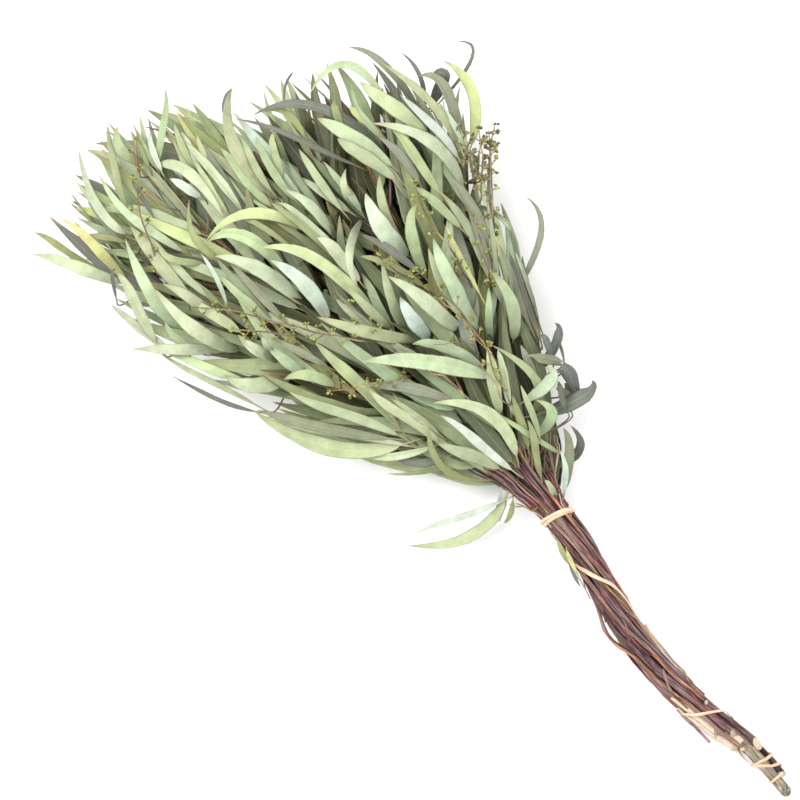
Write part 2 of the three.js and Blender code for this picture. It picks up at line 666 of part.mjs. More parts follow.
function grownLeaf(place, turn) {
  const draw = draws(3, place.owner, place.twig + 1, place.step, turn);
  const root = place.point;
  const run = runAt(root);
  const around = 2 * Math.PI * draw();
  const sideways = v3(0, Math.cos(around), 0.7 * Math.sin(around));
  sideways.addScaledVector(run, -sideways.dot(run)).normalize();
  const slant = mix(0.2, 0.66, draw());
  const length = mix(...LEAF_LENGTH, draw());
  const aim = run.clone().multiplyScalar(Math.cos(slant))
    .addScaledVector(sideways, Math.sin(slant));
  const tip = root.clone().addScaledVector(aim, length);
  const crown = crownAt(root.x + 0.6 * length);
  const out = v3(0, (root.y - crown.y) / crown.wide, (root.z - crown.z) / crown.thick);
  const facing = v3(0, out.y, out.z + 0.25 * Math.sign(out.z + 0.001)).normalize();
  facing.addScaledVector(aim, -facing.dot(aim)).normalize();
  const side = aim.clone().cross(facing);
  const sickle = mix(0.04, 0.15, draw()) * (draw() < 0.5 ? -1 : 1);
  const belly = root.clone().add(tip).multiplyScalar(0.5)
    .addScaledVector(side, sickle * length)
    .addScaledVector(facing, mix(0.02, 0.12, draw()) * length);
  return {
    root, belly, tip, facing,
    roll: mix(-0.7, 0.7, draw()),
    wind: mix(-0.4, 0.4, draw()),
    halfWidth: mix(...LEAF_HALF_WIDTH, draw()),
  };
}

function layGrown(place) {
  for (let turn = 0; turn < LEAF_TURNS; turn += 1) {
    const leaf = grownLeaf(place, turn);
    const out = outness(leaf.tip);
    if (out < TIP_INNERMOST || out > TIP_OUTERMOST || leaf.tip.z < -TIP_PRESSED) continue;
    if (layLeaf(leaf, place.owner, GROWN_STATIONS)) return;
  }
}

for (const place of skeleton) {
  const start = (place.owner + place.twig + 1) % LEAF_EVERY;
  if (place.step % LEAF_EVERY === start) layGrown(place);
}

// -------------------------------------------------------------------- ties
const TIE_CLEARANCE = 0.8; // a strand's corners stay clear of the stems where it turns
const CUT_EASE = 9; // a strand closes in on the bundle over this length past a cut end

// The bundle's outside at x, in the direction of an angle round its axis.
function bundleReach(x, turn) {
  let reach = 0;
  for (const stem of STEMS) {
    const home = { middle: 0, ring: RING_DISTANCE, outer: OUTER_DISTANCE }[stem.at];
    const across = home * Math.cos(stemAngle(stem, x) - turn);
    const there = smooth((x - stem.cut + CUT_EASE) / (CUT_EASE - 1));
    reach = Math.max(reach, (across * spread(FAN_SLOPE, x) + stemRadius(stem, x)) * there);
  }
  return reach;
}

function tiePoint(x, turn, thick) {
  const reach = bundleReach(x, turn) + TIE_CLEARANCE + thick / 2;
  return v3(x, axisY(x) + reach * Math.cos(turn), axisZ(x) + reach * Math.sin(turn));
}

function tieRing(point, run, turn, wide, thick) {
  const out = v3(0, Math.cos(turn), Math.sin(turn));
  const flat = out.clone().cross(run).normalize();
  const rise = run.clone().cross(flat).normalize();
  return [[-1, -1], [-1, 1], [1, 1], [1, -1]].map(([a, b]) =>
    point.clone().addScaledVector(flat, (a * wide) / 2).addScaledVector(rise, (-b * thick) / 2));
}

const TIE_WIDE = 2.6;
const TIE_THICK = 1.1;
const TIE_STEPS = 20;

function neckStrand(shift, tilt) {
  const point = (turn) => tiePoint(NECK_X + shift + tilt * Math.cos(turn), turn, TIE_THICK);
  const rings = [];
  for (let i = 0; i < TIE_STEPS; i += 1) {
    const turn = (2 * Math.PI * i) / TIE_STEPS;
    const run = point(turn + 0.05).sub(point(turn - 0.05)).normalize();
    rings.push(tieRing(point(turn), run, turn, TIE_WIDE, TIE_THICK));
  }
  return hoop(rings);
}

// Where the raffia strand lies: x, and the degrees it has wound round by then.
const RAFFIA_ROUTE = [
  [256, -75], [239, 0], [221, 83], [196, 168], [112, 186], [97, 350], [84, 450],
  [73, 540], [46, 690], [33, 730], [28, 810], [25, 900], [20, 1080], [16, 1170],
];
const RAFFIA_WIDE = 2.4;
const RAFFIA_THICK = 1.0;
const RAFFIA_STEPS = 78;

function raffiaStrand() {
  const route = new THREE.CatmullRomCurve3(
    RAFFIA_ROUTE.map(([x, degrees]) => v3(x, degrees, 0)), false, "centripetal");
  const at = (t) => {
    const place = route.getPointAt(clamp01(t));
    return { x: place.x, turn: THREE.MathUtils.degToRad(place.y) };
  };
  const point = (t) => tiePoint(at(t).x, at(t).turn, RAFFIA_THICK);
  const rings = [];
  for (let i = 0; i <= RAFFIA_STEPS; i += 1) {
    const t = i / RAFFIA_STEPS;
    const run = point(t + 0.002).sub(point(t - 0.002)).normalize();
    rings.push(tieRing(point(t), run, at(t).turn, RAFFIA_WIDE, RAFFIA_THICK));
  }
  const end = rings.pop();
  const middle = end.reduce((sum, p) => sum.add(p), v3(0, 0, 0)).multiplyScalar(1 / end.length);
  return loft(rings, middle);
}

// ----------------------------------------------------------------- the bunch
const bark = new THREE.MeshStandardMaterial({ color: 0x6e504b, roughness: 0.85, metalness: 0 });
const leafGreen = new THREE.MeshStandardMaterial({ color: 0xaab991, roughness: 0.7, metalness: 0 });
const fibre = new THREE.MeshStandardMaterial({ color: 0xe1be96, roughness: 0.8, metalness: 0 });

function meshOf(shape, name, material) {
  const { vertProperties, triVerts } = shape.getMesh();
  const geometry = new THREE.BufferGeometry();
  geometry.setAttribute("position", new THREE.BufferAttribute(vertProperties, 3));
  geometry.setIndex(new THREE.BufferAttribute(triVerts, 1));
  geometry.computeVertexNormals();
  const mesh = new THREE.Mesh(geometry, material);
  mesh.name = name;
  return mesh;
}

const bunch = new THREE.Group();
STEMS.forEach((stem, owner) => {
  const pieces = laid.filter((piece) => piece.owner === owner).map((piece) => piece.shape);
  const bodies = wasm.Manifold.union(pieces).decompose();
  const shape = bodies.sort((a, b) => b.volume() - a.volume())[0];
  const name = `leafy_stem_${String(owner + 1).padStart(2, "0")}`;
  bunch.add(meshOf(shape, name, leafGreen));
});
bunch.add(meshOf(neckStrand(-1.1, 2.6).add(neckStrand(1.1, 3.4)), "neck_tie", fibre));
bunch.add(meshOf(raffiaStrand(), "raffia_strand", fibre));

// The origin goes under the middle of the bunch, on the table.
const box = new THREE.Box3().setFromObject(bunch);
const centre = box.getCenter(v3(0, 0, 0));
bunch.position.set(-centre.x, -centre.y, -box.min.z);
const whole = new THREE.Group();
whole.add(bunch);

export default whole;
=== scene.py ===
import math

import bpy
import numpy as np
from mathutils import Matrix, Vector
from mathutils.bvhtree import BVHTree
from mathutils.kdtree import KDTree


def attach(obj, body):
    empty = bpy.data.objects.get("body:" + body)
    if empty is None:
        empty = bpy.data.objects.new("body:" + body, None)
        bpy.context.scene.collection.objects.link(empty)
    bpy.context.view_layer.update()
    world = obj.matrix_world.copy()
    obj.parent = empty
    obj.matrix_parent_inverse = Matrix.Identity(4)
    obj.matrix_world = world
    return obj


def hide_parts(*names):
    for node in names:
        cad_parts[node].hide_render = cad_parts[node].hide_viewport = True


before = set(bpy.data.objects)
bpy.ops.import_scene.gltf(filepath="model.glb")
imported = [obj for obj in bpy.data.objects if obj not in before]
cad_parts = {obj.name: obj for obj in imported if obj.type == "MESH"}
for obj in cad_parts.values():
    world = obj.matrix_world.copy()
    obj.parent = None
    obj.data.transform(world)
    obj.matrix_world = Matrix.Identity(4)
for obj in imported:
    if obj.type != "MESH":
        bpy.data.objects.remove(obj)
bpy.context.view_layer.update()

# ------------------------------------------------------------------ the stems
# Thirteen cut stems of willow eucalyptus, gripped side by side into a twisted
# bundle below the neck and fanning out above it. Each is round wood under thin
# purple-brown bark, tapers to the last leaf and was cut across with shears.
# Lengths are in millimetres, x from the longest cut end towards the tips, y
# across the bunch and z up from the table; to_frame() takes them to the frame.
NECK_X = 267
BOW_START_X = 15
BOW = 15.5
BUTT_Z = 11.5
CROWN_Z = 62
CROWN_X = 560
TWIST_NEAR_NECK = math.radians(115)
TWIST_LENGTH = 150
TWIST_REST = math.radians(20)
RING = 7.5
OUTER = 9.95
FAN_SLOPE = 0.45
RISE_SLOPE = 0.155
FAN_START = 60
NECK_THINNING = 0.78  # a stem's radius at the neck as a share of that at its cut end
STEM_TIP_RADIUS = 1.0
STEMS = [
    {"out": 0, "angle": 0, "radius": 4.0, "cut": 0, "end": 628},
    {"out": RING, "angle": 30, "radius": 2.9, "cut": 36, "end": 612},
    {"out": RING, "angle": 90, "radius": 3.1, "cut": 9, "end": 618},
    {"out": RING, "angle": 150, "radius": 2.7, "cut": 21, "end": 575},
    {"out": RING, "angle": 210, "radius": 3.0, "cut": 47, "end": 570},
    {"out": RING, "angle": 270, "radius": 3.0, "cut": 66, "end": 600},
    {"out": RING, "angle": 330, "radius": 2.8, "cut": 57, "end": 615},
    {"out": OUTER, "angle": 0, "radius": 1.6, "cut": 88, "end": 618},
    {"out": OUTER, "angle": 60, "radius": 1.4, "cut": 104, "end": 608},
    {"out": OUTER, "angle": 120, "radius": 1.6, "cut": 30, "end": 585},
    {"out": OUTER, "angle": 180, "radius": 1.5, "cut": 74, "end": 568},
    {"out": OUTER, "angle": 240, "radius": 1.4, "cut": 64, "end": 560},
    {"out": OUTER, "angle": 300, "radius": 1.6, "cut": 44, "end": 600},
]
BOWED_STEM = 12  # this one springs out of the bundle for a stretch
BOWED = (140, 202)
BOWED_OUT = 7
METRE = 1000


def mix(a, b, t):
    return a + (b - a) * t


def smooth(t):
    t = np.clip(t, 0.0, 1.0)
    return t * t * (3 - 2 * t)


def unit(v):
    return v / np.linalg.norm(v, axis=-1, keepdims=True)


def axis_y(x):
    return BOW * np.sin(np.pi * np.clip((x - BOW_START_X) / (NECK_X - BOW_START_X), 0, 1)) ** 2


def axis_z(x):
    return BUTT_Z + (CROWN_Z - BUTT_Z) * smooth(x / CROWN_X)


def spread(slope, x):
    past = np.maximum(0.0, x - NECK_X)
    parted = past - FAN_START * (1 - np.exp(-past / FAN_START))
    return 1 + slope * parted / OUTER


def stem_angle(stem, x):
    below = np.maximum(0.0, NECK_X - x)
    turned = TWIST_NEAR_NECK * smooth(below / TWIST_LENGTH) + TWIST_REST * below / NECK_X
    return math.radians(stem["angle"]) + turned


def stem_point(stem, x):
    turn = stem_angle(stem, x)
    out = stem["out"] + 0.0 * turn
    if stem is STEMS[BOWED_STEM]:
        across = np.clip((x - BOWED[0]) / (BOWED[1] - BOWED[0]), 0, 1)
        out = out + BOWED_OUT * np.sin(np.pi * across) ** 2
    y = axis_y(x) + out * np.cos(turn) * spread(FAN_SLOPE, x)
    z = axis_z(x) + out * np.sin(turn) * spread(RISE_SLOPE, x)
    return np.stack([x + 0.0 * y, y, z], axis=-1)


def stem_radius(stem, x):
    at_neck = stem["radius"] * NECK_THINNING
    below = mix(stem["radius"], at_neck, x / NECK_X)
    above = np.clip((x - NECK_X) / (stem["end"] - NECK_X), 0, 1)
    return np.where(x < NECK_X, below, mix(at_neck, STEM_TIP_RADIUS, above))


# Repeatable draws, with a fresh row of them for each set of keys.
def draws(*keys):
    def times(a, b):
        return (a * b) & 0xFFFFFFFF

    state = 0x9E3779B9
    for key in keys:
        state = times(state ^ (key + 0x7F4A7C15), 0x85EBCA6B)
        state ^= state >> 13

    def draw(low=0.0, high=1.0):
        nonlocal state
        state = (state + 0x6D2B79F5) & 0xFFFFFFFF
        t = times(state ^ (state >> 15), 1 | state)
        t = ((t + times(t ^ (t >> 7), 61 | t)) ^ t) & 0xFFFFFFFF
        return mix(low, high, (t ^ (t >> 14)) / 4294967296)

    return draw


# The middle stem's cut face shows where the bunch lies in the frame.
CUT_FACE_DEEP = 0.0005


def corners_of(node):
    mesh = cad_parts[node].data
    flat = np.zeros(len(mesh.vertices) * 3, np.float32)
    mesh.vertices.foreach_get("co", flat)
    return np.unique(np.round(flat.reshape(-1, 3).astype(float), 7), axis=0)


STEM_NODES = [f"leafy_stem_{i + 1:02d}" for i in range(len(STEMS))]
corners = [corners_of(node) for node in STEM_NODES]
butt = corners[0]
cut_face = butt[butt[:, 0] < butt[:, 0].min() + CUT_FACE_DEEP]
ORIGIN = cut_face.mean(axis=0) * METRE - stem_point(STEMS[0], np.float64(0))


def to_frame(points):
    return (points + ORIGIN) / METRE


# Points, faces and point values gathered for one mesh.
class Skin:
    def __init__(self):
        self.points, self.faces, self.grain, self.tint, self.wear = [], [], [], [], []
        self.count = 0

    def add(self, points, faces, grain, tint, wear):
        """grain is a place along and across the surface, tint a colour and wear four shares.

        Of wear, bark shows the first two, as pale cut wood and as peeled wood, and leaves
        the first, as browning. No finish reads the others.
        """
        self.points.append(points)
        self.faces.extend((np.asarray(f) + self.count).tolist() for f in faces)
        for store, value, wide in ((self.grain, grain, 3), (self.tint, tint, 4), (self.wear, wear, 4)):
            store.append(np.broadcast_to(np.asarray(value, float), (len(points), wide)))
        self.count += len(points)

    def piece(self, name, slot, material, sharp=None, nodes=()):
        mesh = bpy.data.meshes.new(name)
        faces = [face for block in self.faces for face in block]
        mesh.from_pydata(to_frame(np.concatenate(self.points)), [], faces)
        for label, kind, field, store in (
            ("grain", "FLOAT_VECTOR", "vector", self.grain),
            ("tint", "FLOAT_COLOR", "color", self.tint),
            ("wear", "FLOAT_COLOR", "color", self.wear),
        ):
            values = mesh.attributes.new(label, kind, "POINT").data
            values.foreach_set(field, np.concatenate(store).astype(np.float32).ravel())
        mesh.shade_smooth()
        if sharp:
            mesh.set_sharp_from_angle(angle=sharp)
        mesh.materials.append(material)
        made = bpy.data.objects.new(name, mesh)
        bpy.context.scene.collection.objects.link(made)
        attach(made, "root")
        if nodes:
            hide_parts(*nodes)


def rows_of_faces(rows, sides):
    """The four-cornered faces between rows of points that close round on themselves."""
    row, side = np.meshgrid(np.arange(rows - 1), np.arange(sides), indexing="ij")
    after = (side + 1) % sides
    here, ahead = row * sides, (row + 1) * sides
    return np.stack([here + side, here + after, ahead + after, ahead + side], -1).reshape(-1, 4)


def fans(rows, sides):
    """Three-cornered faces that close the first and the last row on two middle points."""
    side = np.arange(sides)
    after = (side + 1) % sides
    first, last = rows * sides, rows * sides + 1
    start = np.stack([side * 0 + first, after, side], -1)
    finish = np.stack([side * 0 + last, side + (rows - 1) * sides, after + (rows - 1) * sides], -1)
    return np.concatenate([start, finish])


def frames_along(points):
    """For each point of a line, two directions square to it that turn as little as they can."""
    run = unit(np.gradient(points, axis=0))
    u = unit(np.cross(run[0], [0.0, 0.0, 1.0] if abs(run[0][2]) < 0.8 else [0.0, 1.0, 0.0]))
    sides = []
    for r in run:
        u = unit(u - r * np.dot(u, r))
        sides.append(u)
    u = np.array(sides)
    return u, np.cross(run, u)


def turns_round(sides):
    return 2 * np.pi * np.arange(sides) / sides


def round_rod(points, radii, sides):
    """Points and faces of a closed rod of changing radius, with the turn of each point."""
    u, w = frames_along(points)
    turn = turns_round(sides)
    radii = radii if np.ndim(radii) == 2 else np.repeat(np.asarray(radii)[:, None], sides, 1)
    ring = np.cos(turn)[None, :, None] * u[:, None] + np.sin(turn)[None, :, None] * w[:, None]
    skin = points[:, None] + ring * radii[:, :, None]
    everything = np.concatenate([skin.reshape(-1, 3), points[:1], points[-1:]])
    faces = [rows_of_faces(len(points), sides), fans(len(points), sides)]
    return everything, faces, turn


def lengths_along(points):
    return np.concatenate([[0], np.cumsum(np.linalg.norm(np.diff(points, axis=0), axis=1))])


def rod_grain(length, turn, radius):
    """The place along and round a rod of each of its points, row by row."""
    grain = np.zeros((len(length) * len(turn) + 2, 3))
    grain[:-2, 0] = np.repeat(length, len(turn))
    ring = np.tile(np.stack([np.cos(turn), np.sin(turn)], -1), (len(length), 1))
    grain[:-2, 1:] = ring * np.repeat(np.broadcast_to(radius, len(length)), len(turn))[:, None]
    return grain


def linear(red, green, blue):
    """A colour that is given as 0 to 255, as shares of linear light."""
    share = np.array([red, green, blue]) / 255
    return [*np.where(share <= 0.04045, share / 12.92, ((share + 0.055) / 1.055) ** 2.4), 1.0]


OLD_BARK = linear(92, 62, 62)
YOUNG_BARK = linear(106, 64, 56)
GREEN_BARK = linear(140, 108, 64)
OLIVE_BARK = linear(146, 136, 112)
OLIVE_END = 64  # the middle stem's bark is olive grey below this
PEELED = {4: (47, 84), 5: (54, 114), 11: (60, 104)}  # the stretches of three stems that lost their bark
SCAR = {"from": 47, "to": 67}  # a patch of bare wood on the top of the middle stem
WHITE_CUT = 1  # this stem's cut face looks up and is still pale
WHITE_CUT_SLANT = 1.7
CUT_SLANT = (0.5, 1.1)
CUT_TURN = (-0.5, 0.5)
FRESH_CUT_RIM = 0.6
WEATHERED_CUT = 0.3
SLANT_FADES = 18
WOBBLE = 0.7
WOBBLE_LENGTH = (9, 15)
WOBBLE_STARTS = 40  # a stem is straight at its cut end and wanders from here on
BARK_SWELL = 1.05  # bark makes a stem this much thicker
OLD_WOOD = (1.2, 2.4)  # bark turns from young to old between these radii
# Painted light on the bark where it faces out of the bundle, and painted shade where it faces in, as shares
# of its colour.
PAINTED_OUTER_LIGHT = 1.75
PAINTED_GROOVE_SHADE = 0.2
STEM_TINTS = [(1.0, 1.0, 1.0), (0.9, 0.88, 0.95), (1.15, 1.02, 0.96), (0.88, 0.95, 0.9), (1.05, 0.92, 1.0)]
STEM_SIDES = 14
STEM_STEP = 2.0
STEM_GRAIN = 700  # each stem takes its bark pattern this far on from the one before
FIRST_KNOT = (8, 30)
KNOTS_APART = (9, 26)
KNOT_LONG = (2.2, 4.5)
KNOT_ROUND = (0.03, 0.12)
KNOT_BUMP = (0.08, 0.34)
KNOTS_END = 20


def bark_tint(thickness, draw):
    """Bark is purple-brown on thick wood, red-brown on twigs and golden on the thinnest."""
    old = np.clip((thickness - OLD_WOOD[0]) / (OLD_WOOD[1] - OLD_WOOD[0]), 0, 1)[:, None]
    twig = mix(np.array(GREEN_BARK), np.array(YOUNG_BARK), draw(0.35, 1.0))
    return mix(twig, np.array(OLD_BARK) * draw(0.8, 1.25), old)


def painted_bundle_shade(points, skin, sides):
    """Painted shade and light: bark is darkened where it faces into the bundle and lightened where it faces
    out.
    """
    ring = skin.reshape(-1, sides, 3) - points[:, None]
    middle = np.stack([points[:, 0], axis_y(points[:, 0]), axis_z(points[:, 0])], -1)
    out = points - middle
    far = np.linalg.norm(out, axis=1)[:, None]
    facing = np.sum(ring * out[:, None], axis=2) / (np.linalg.norm(ring, axis=2) * np.maximum(far, 1e-6))
    share = np.where(far > 2, mix(PAINTED_GROOVE_SHADE, PAINTED_OUTER_LIGHT, smooth(facing + 0.15)), 1.0)
    return share.reshape(-1, 1)


def knots(stem, x, turn, draw):
    """How far the bark swells at the scars where leaves and shoots once sat."""
    swell = np.zeros((len(x), STEM_SIDES))
    at = stem["cut"] + draw(*FIRST_KNOT)
    while at < stem["end"] - KNOTS_END:
        side = draw(0, 2 * np.pi)
        near = np.exp(-(((x - at) / draw(*KNOT_LONG)) ** 2))
        bump = np.clip(np.cos(turn - side), 0, 1) ** 3
        swell += near[:, None] * (draw(*KNOT_ROUND) + draw(*KNOT_BUMP) * bump)
        at += draw(*KNOTS_APART)
    return swell


def slant_cut(skin, around, x, number, stem, draw):
    """The shears went through at a slant, which fades out along the stem."""
    slant = WHITE_CUT_SLANT if number == WHITE_CUT else draw(*CUT_SLANT)
    shift = around[:, 2] * slant + around[:, 1] * draw(*CUT_TURN)
    if number:
        shift -= (skin[:STEM_SIDES, 0] + shift[:STEM_SIDES]).min() - stem["cut"]
    fading = np.clip(1 - (x - stem["cut"]) / SLANT_FADES, 0, 1)
    skin[:-2, 0] += shift * np.repeat(fading, STEM_SIDES)
    skin[-2] = skin[:STEM_SIDES].mean(axis=0)


def stem_wear(skin, around, points, x, radius, number, draw):
    """Where a stem shows its pale cut face and wood that has lost its bark."""
    wear = np.zeros((len(skin), 4))
    wear[:-2, 2] = draw()
    wear[-2, 0] = 1 if number else WEATHERED_CUT
    wear[:STEM_SIDES, 0] = FRESH_CUT_RIM if number else WEATHERED_CUT
    if number == 0:
        scarred = smooth((x - SCAR["from"]) / 5) * smooth((SCAR["to"] - x) / 5)
        above = skin[:-2, 2] - np.repeat(points[:, 2], STEM_SIDES)
        above = np.clip(above / np.repeat(radius, STEM_SIDES), 0, 1)
        wear[:-2, 1] = np.repeat(scarred, STEM_SIDES) * np.sqrt(above)
    if number in PEELED:
        start, finish = PEELED[number]
        bared = smooth((x - start + 6) / 6) * smooth((finish - x) / 8)
        facing = (0.8 * around[:, 2] + 0.6 * around[:, 1]) / np.linalg.norm(around, axis=1)
        wear[:-2, 1] = np.repeat(bared, STEM_SIDES) * (0.55 + 0.45 * facing)
    return wear


def add_stem(skin, number, stem):
    draw = draws(11, number)
    x = np.append(np.arange(stem["cut"], stem["end"], STEM_STEP), float(stem["end"]))
    points = stem_point(stem, x)
    loose = smooth((x - stem["cut"]) / WOBBLE_STARTS)
    for axis in (1, 2):
        points[:, axis] += loose * WOBBLE * np.sin(x / draw(*WOBBLE_LENGTH) + draw(0, 6))
    radius = stem_radius(stem, x) * BARK_SWELL
    turn = turns_round(STEM_SIDES)
    swell = knots(stem, x, turn, draw)
    fluted = 0.03 * np.sin(3 * turn + draw(0, 6) + 0.05 * x[:, None])
    fluted += 0.02 * np.sin(5 * turn - 0.11 * x[:, None])
    everything, faces, turn = round_rod(points, radius[:, None] * (1 + swell + fluted), STEM_SIDES)
    around = everything[:-2] - np.repeat(points, STEM_SIDES, axis=0)
    slant_cut(everything, around, x, number, stem, draw)
    grain = rod_grain(lengths_along(points), turn, radius)
    grain[-1, 0] = grain[-3, 0]
    grain[:, 0] += STEM_GRAIN * number
    tint = np.zeros((len(everything), 4))
    tint[:-2] = np.repeat(bark_tint(radius, draw), STEM_SIDES, axis=0)
    own = np.array(STEM_TINTS[number % len(STEM_TINTS)])
    # Painted shade where the bark faces into the bundle, painted light where it faces out.
    tint[:-2, :3] *= painted_bundle_shade(points, everything[:-2], STEM_SIDES) * own
    if number == 0:
        olive = np.repeat(smooth((OLIVE_END - x) / 14), STEM_SIDES)[:, None]
        tint[:-2] = mix(tint[:-2], np.array(OLIVE_BARK), olive)
    tint[-2:] = tint[[0, -3]]
    wear = stem_wear(everything, around, points, x, radius, number, draw)
    skin.add(everything, faces, grain, tint, wear)


# One step of a finish. An input is either taken from another step or given as a plain value.
def wire(tree, kind, inputs, **settings):
    made = tree.nodes.new("ShaderNode" + kind)
    for key, value in settings.items():
        setattr(made, key, value)
    for key, value in inputs.items():
        if isinstance(value, bpy.types.NodeSocket):
            tree.links.new(value, made.inputs[key])
        else:
            made.inputs[key].default_value = value
    return made.outputs[0]


def maths(tree, operation, a, b=0.0):
    return wire(tree, "Math", {0: a, 1: b}, operation=operation)


def blend_colours(tree, share, a, b, way="MIX"):
    return wire(tree, "MixRGB", {0: share, 1: a, 2: b}, blend_type=way)


def ramp(tree, share, *stops):
    out = wire(tree, "ValToRGB", {0: share})
    elements = out.node.color_ramp.elements
    while len(elements) < len(stops):
        elements.new(0.5)
    for element, (place, colour) in zip(elements, stops):
        element.position = place
        element.color = colour if np.ndim(colour) else (colour, colour, colour, 1)
    return out


def stretched(tree, vector, scale, kind="Noise", **settings):
    moved = wire(tree, "VectorMath", {0: vector, 1: scale}, operation="MULTIPLY")
    inputs = {"Vector": moved, "Scale": 1.0, **settings}
    return wire(tree, "Tex" + kind, inputs)


def surface(name, roughness, specular):
    made = bpy.data.materials.new(name)
    made.use_nodes = True
    tree = made.node_tree
    shader = tree.nodes["Principled BSDF"]
    shader.inputs["Roughness"].default_value = roughness
    shader.inputs["Specular IOR Level"].default_value = specular
    return made, tree, shader


def value_of(tree, label, output):
    made = tree.nodes.new("ShaderNodeAttribute")
    made.attribute_name = label
    return made.outputs[output]


def parts_of(tree, kind, value):
    """The three shares of a colour, or the three parts of a place."""
    split = tree.nodes.new("ShaderNodeSeparate" + kind)
    tree.links.new(value, split.inputs[0])
    return split.outputs


WORN_GREY = linear(150, 129, 128)
PORE = linear(150, 126, 112)
WOOD_DARK, WOOD, WOOD_PALE = linear(186, 152, 128), linear(226, 203, 180), linear(240, 227, 210)
bark, tree, shader = surface("bark", 0.7, 0.35)
grain = value_of(tree, "grain", "Vector")
cut, peeled, _ = parts_of(tree, "Color", value_of(tree, "wear", "Color"))
streaks = stretched(tree, grain, (0.07, 1.1, 1.1), Detail=6.0, Roughness=0.65)
furrows = stretched(tree, grain, (0.05, 0.55, 0.55), Detail=4.0, Roughness=0.7)
blotches = stretched(tree, grain, (0.03, 0.25, 0.25), Detail=3.0)
dots = stretched(tree, grain, (0.5, 1.6, 1.6), kind="Voronoi")
own = value_of(tree, "tint", "Color")
streaked = ramp(tree, streaks, (0.36, 0.36), (0.5, 0.9), (0.62, 1.65))
furrowed = ramp(tree, furrows, (0.38, 0.25), (0.49, 0.85), (0.6, 1.75))
darker = blend_colours(tree, 1.0, blend_colours(tree, 1.0, own, streaked, "MULTIPLY"), furrowed, "MULTIPLY")
greyed = blend_colours(tree, ramp(tree, blotches, (0.46, 0.0), (0.6, 0.6)), darker, WORN_GREY)
dotted = blend_colours(tree, ramp(tree, dots, (0.05, 0.5), (0.16, 0.0)), greyed, PORE)
wood_fibre = ramp(tree, streaks, (0.3, WOOD_DARK), (0.5, WOOD), (0.75, WOOD_PALE))
ragged = maths(tree, "MULTIPLY", maths(tree, "SUBTRACT", furrows, 0.5), peeled)
bare = maths(tree, "ADD", maths(tree, "ADD", cut, peeled), ragged)
coloured = blend_colours(tree, ramp(tree, bare, (0.42, 0.0), (0.56, 1.0)), dotted, wood_fibre)
tree.links.new(coloured, shader.inputs["Base Color"])
tree.links.new(ramp(tree, streaks, (0.3, 0.55), (0.7, 0.85)), shader.inputs["Roughness"])
height = maths(tree, "ADD", streaks, furrows)
relief = wire(tree, "Bump", {"Strength": 1.0, "Distance": 0.0016, "Height": height})
tree.links.new(relief, shader.inputs["Normal"])

# ------------------------------------------------------------------ the twigs
# Side twigs leave each stem at a slant and bend forward with the bunch. They
# are thinner, smoother and redder than the stems, turned to every side, and
# each ends within the crown's surface.
TWIGS_PER_STEM = 5
FLOWER_TWIG = 2
TWIG_SIDES = 8
TWIG_STEPS = 16
TWIG_STATIONS = [0, 0.15, 0.55, 1]
TWIG_TURNS = 24
TWIG_REGION = (296, -30)  # from here along the stem to this far from its end
TWIG_SLANT = (0.45, 0.75)
TWIG_LENGTH = (62, 118)
TWIG_OUTNESS = 0.86
TWIG_LOWEST = 6
TWIG_GRAIN = 50
SAME_PLACE = 0.00004  # metres
SKELETON_START = 300
SKELETON_STEP = 6
# The frame's stems are straight between a few stations, closer together where one bows out.
STATIONS = 8
STATION_STEP = 30
STATIONS_APART = 6
BOWED_STATIONS = 7
# The picture shows the bunch from above: millimetres for each of its points, where the
# longest cut end lies in it, and which way the bunch runs from there.
LEAF_FROM_PICTURE = {"millimetres": 0.74, "cut_end": (790, 795), "along": (-0.64, -0.768)}
# The crown's outline from above, its thickness and how it thins towards the tips.
LEFT_EDGE = [
    (267, 12), (316, 24), (372, 65), (428, 115), (530, 155),
    (600, 164), (676, 160), (704, 101), (712, 62),
]
RIGHT_EDGE = [
    (267, -12), (310, -48), (328, -78), (380, -84), (427, -106),
    (520, -144), (567, -169), (632, -103), (666, -16), (700, 40), (712, 58),
]
CROWN_THIN = 12
CROWN_THICK = 66
CROWN_SWELL = 110
TIP_THINNING = 0.35
CROWN_POWER = 2.6
CROWN_EDGE = 0.98  # its upper surface slopes down beyond this share of its half-width
CROWN_THINS_OVER = 150

searches = []
for found in corners:
    search = KDTree(len(found))
    for i, corner in enumerate(found):
        search.insert(corner, i)
    search.balance()
    searches.append(search)


def stem_has(owner, *points):
    """Whether this stem of the frame has a corner at each of these points."""
    return all(searches[owner].find(to_frame(p))[2] < SAME_PLACE for p in points)


def run_at(point):
    """The way the bunch runs at a point: the direction of a stem that passes there."""
    x, y, z = point
    p = (y - axis_y(x)) / spread(FAN_SLOPE, x)
    q = (z - axis_z(x)) / spread(RISE_SLOPE, x)
    after = x + 1
    ahead_y = axis_y(after) + p * spread(FAN_SLOPE, after)
    ahead_z = axis_z(after) + q * spread(RISE_SLOPE, after)
    return unit(np.array([after, ahead_y, ahead_z]) - point)


def crown_at(x):
    """The crown's middle, half-width and half-thickness at x."""
    left = np.interp(x, *zip(*LEFT_EDGE))
    right = np.interp(x, *zip(*RIGHT_EDGE))
    swell = 1 - math.exp(-max(0.0, x - NECK_X) / CROWN_SWELL)
    thinning = 1 - TIP_THINNING * smooth((x - CROWN_X) / CROWN_THINS_OVER)
    thick = (CROWN_THIN + CROWN_THICK * swell) * thinning
    return (left + right) / 2, axis_z(x), max(1.0, (left - right) / 2), thick


def outness(point):
    """How far out in the crown a point is: 0 in the middle and 1 on its surface."""
    y, z, wide, thick = crown_at(point[0])
    across, up = abs(point[1] - y) / wide, abs(point[2] - z) / thick
    return (across**CROWN_POWER + up**CROWN_POWER) ** (1 / CROWN_POWER)


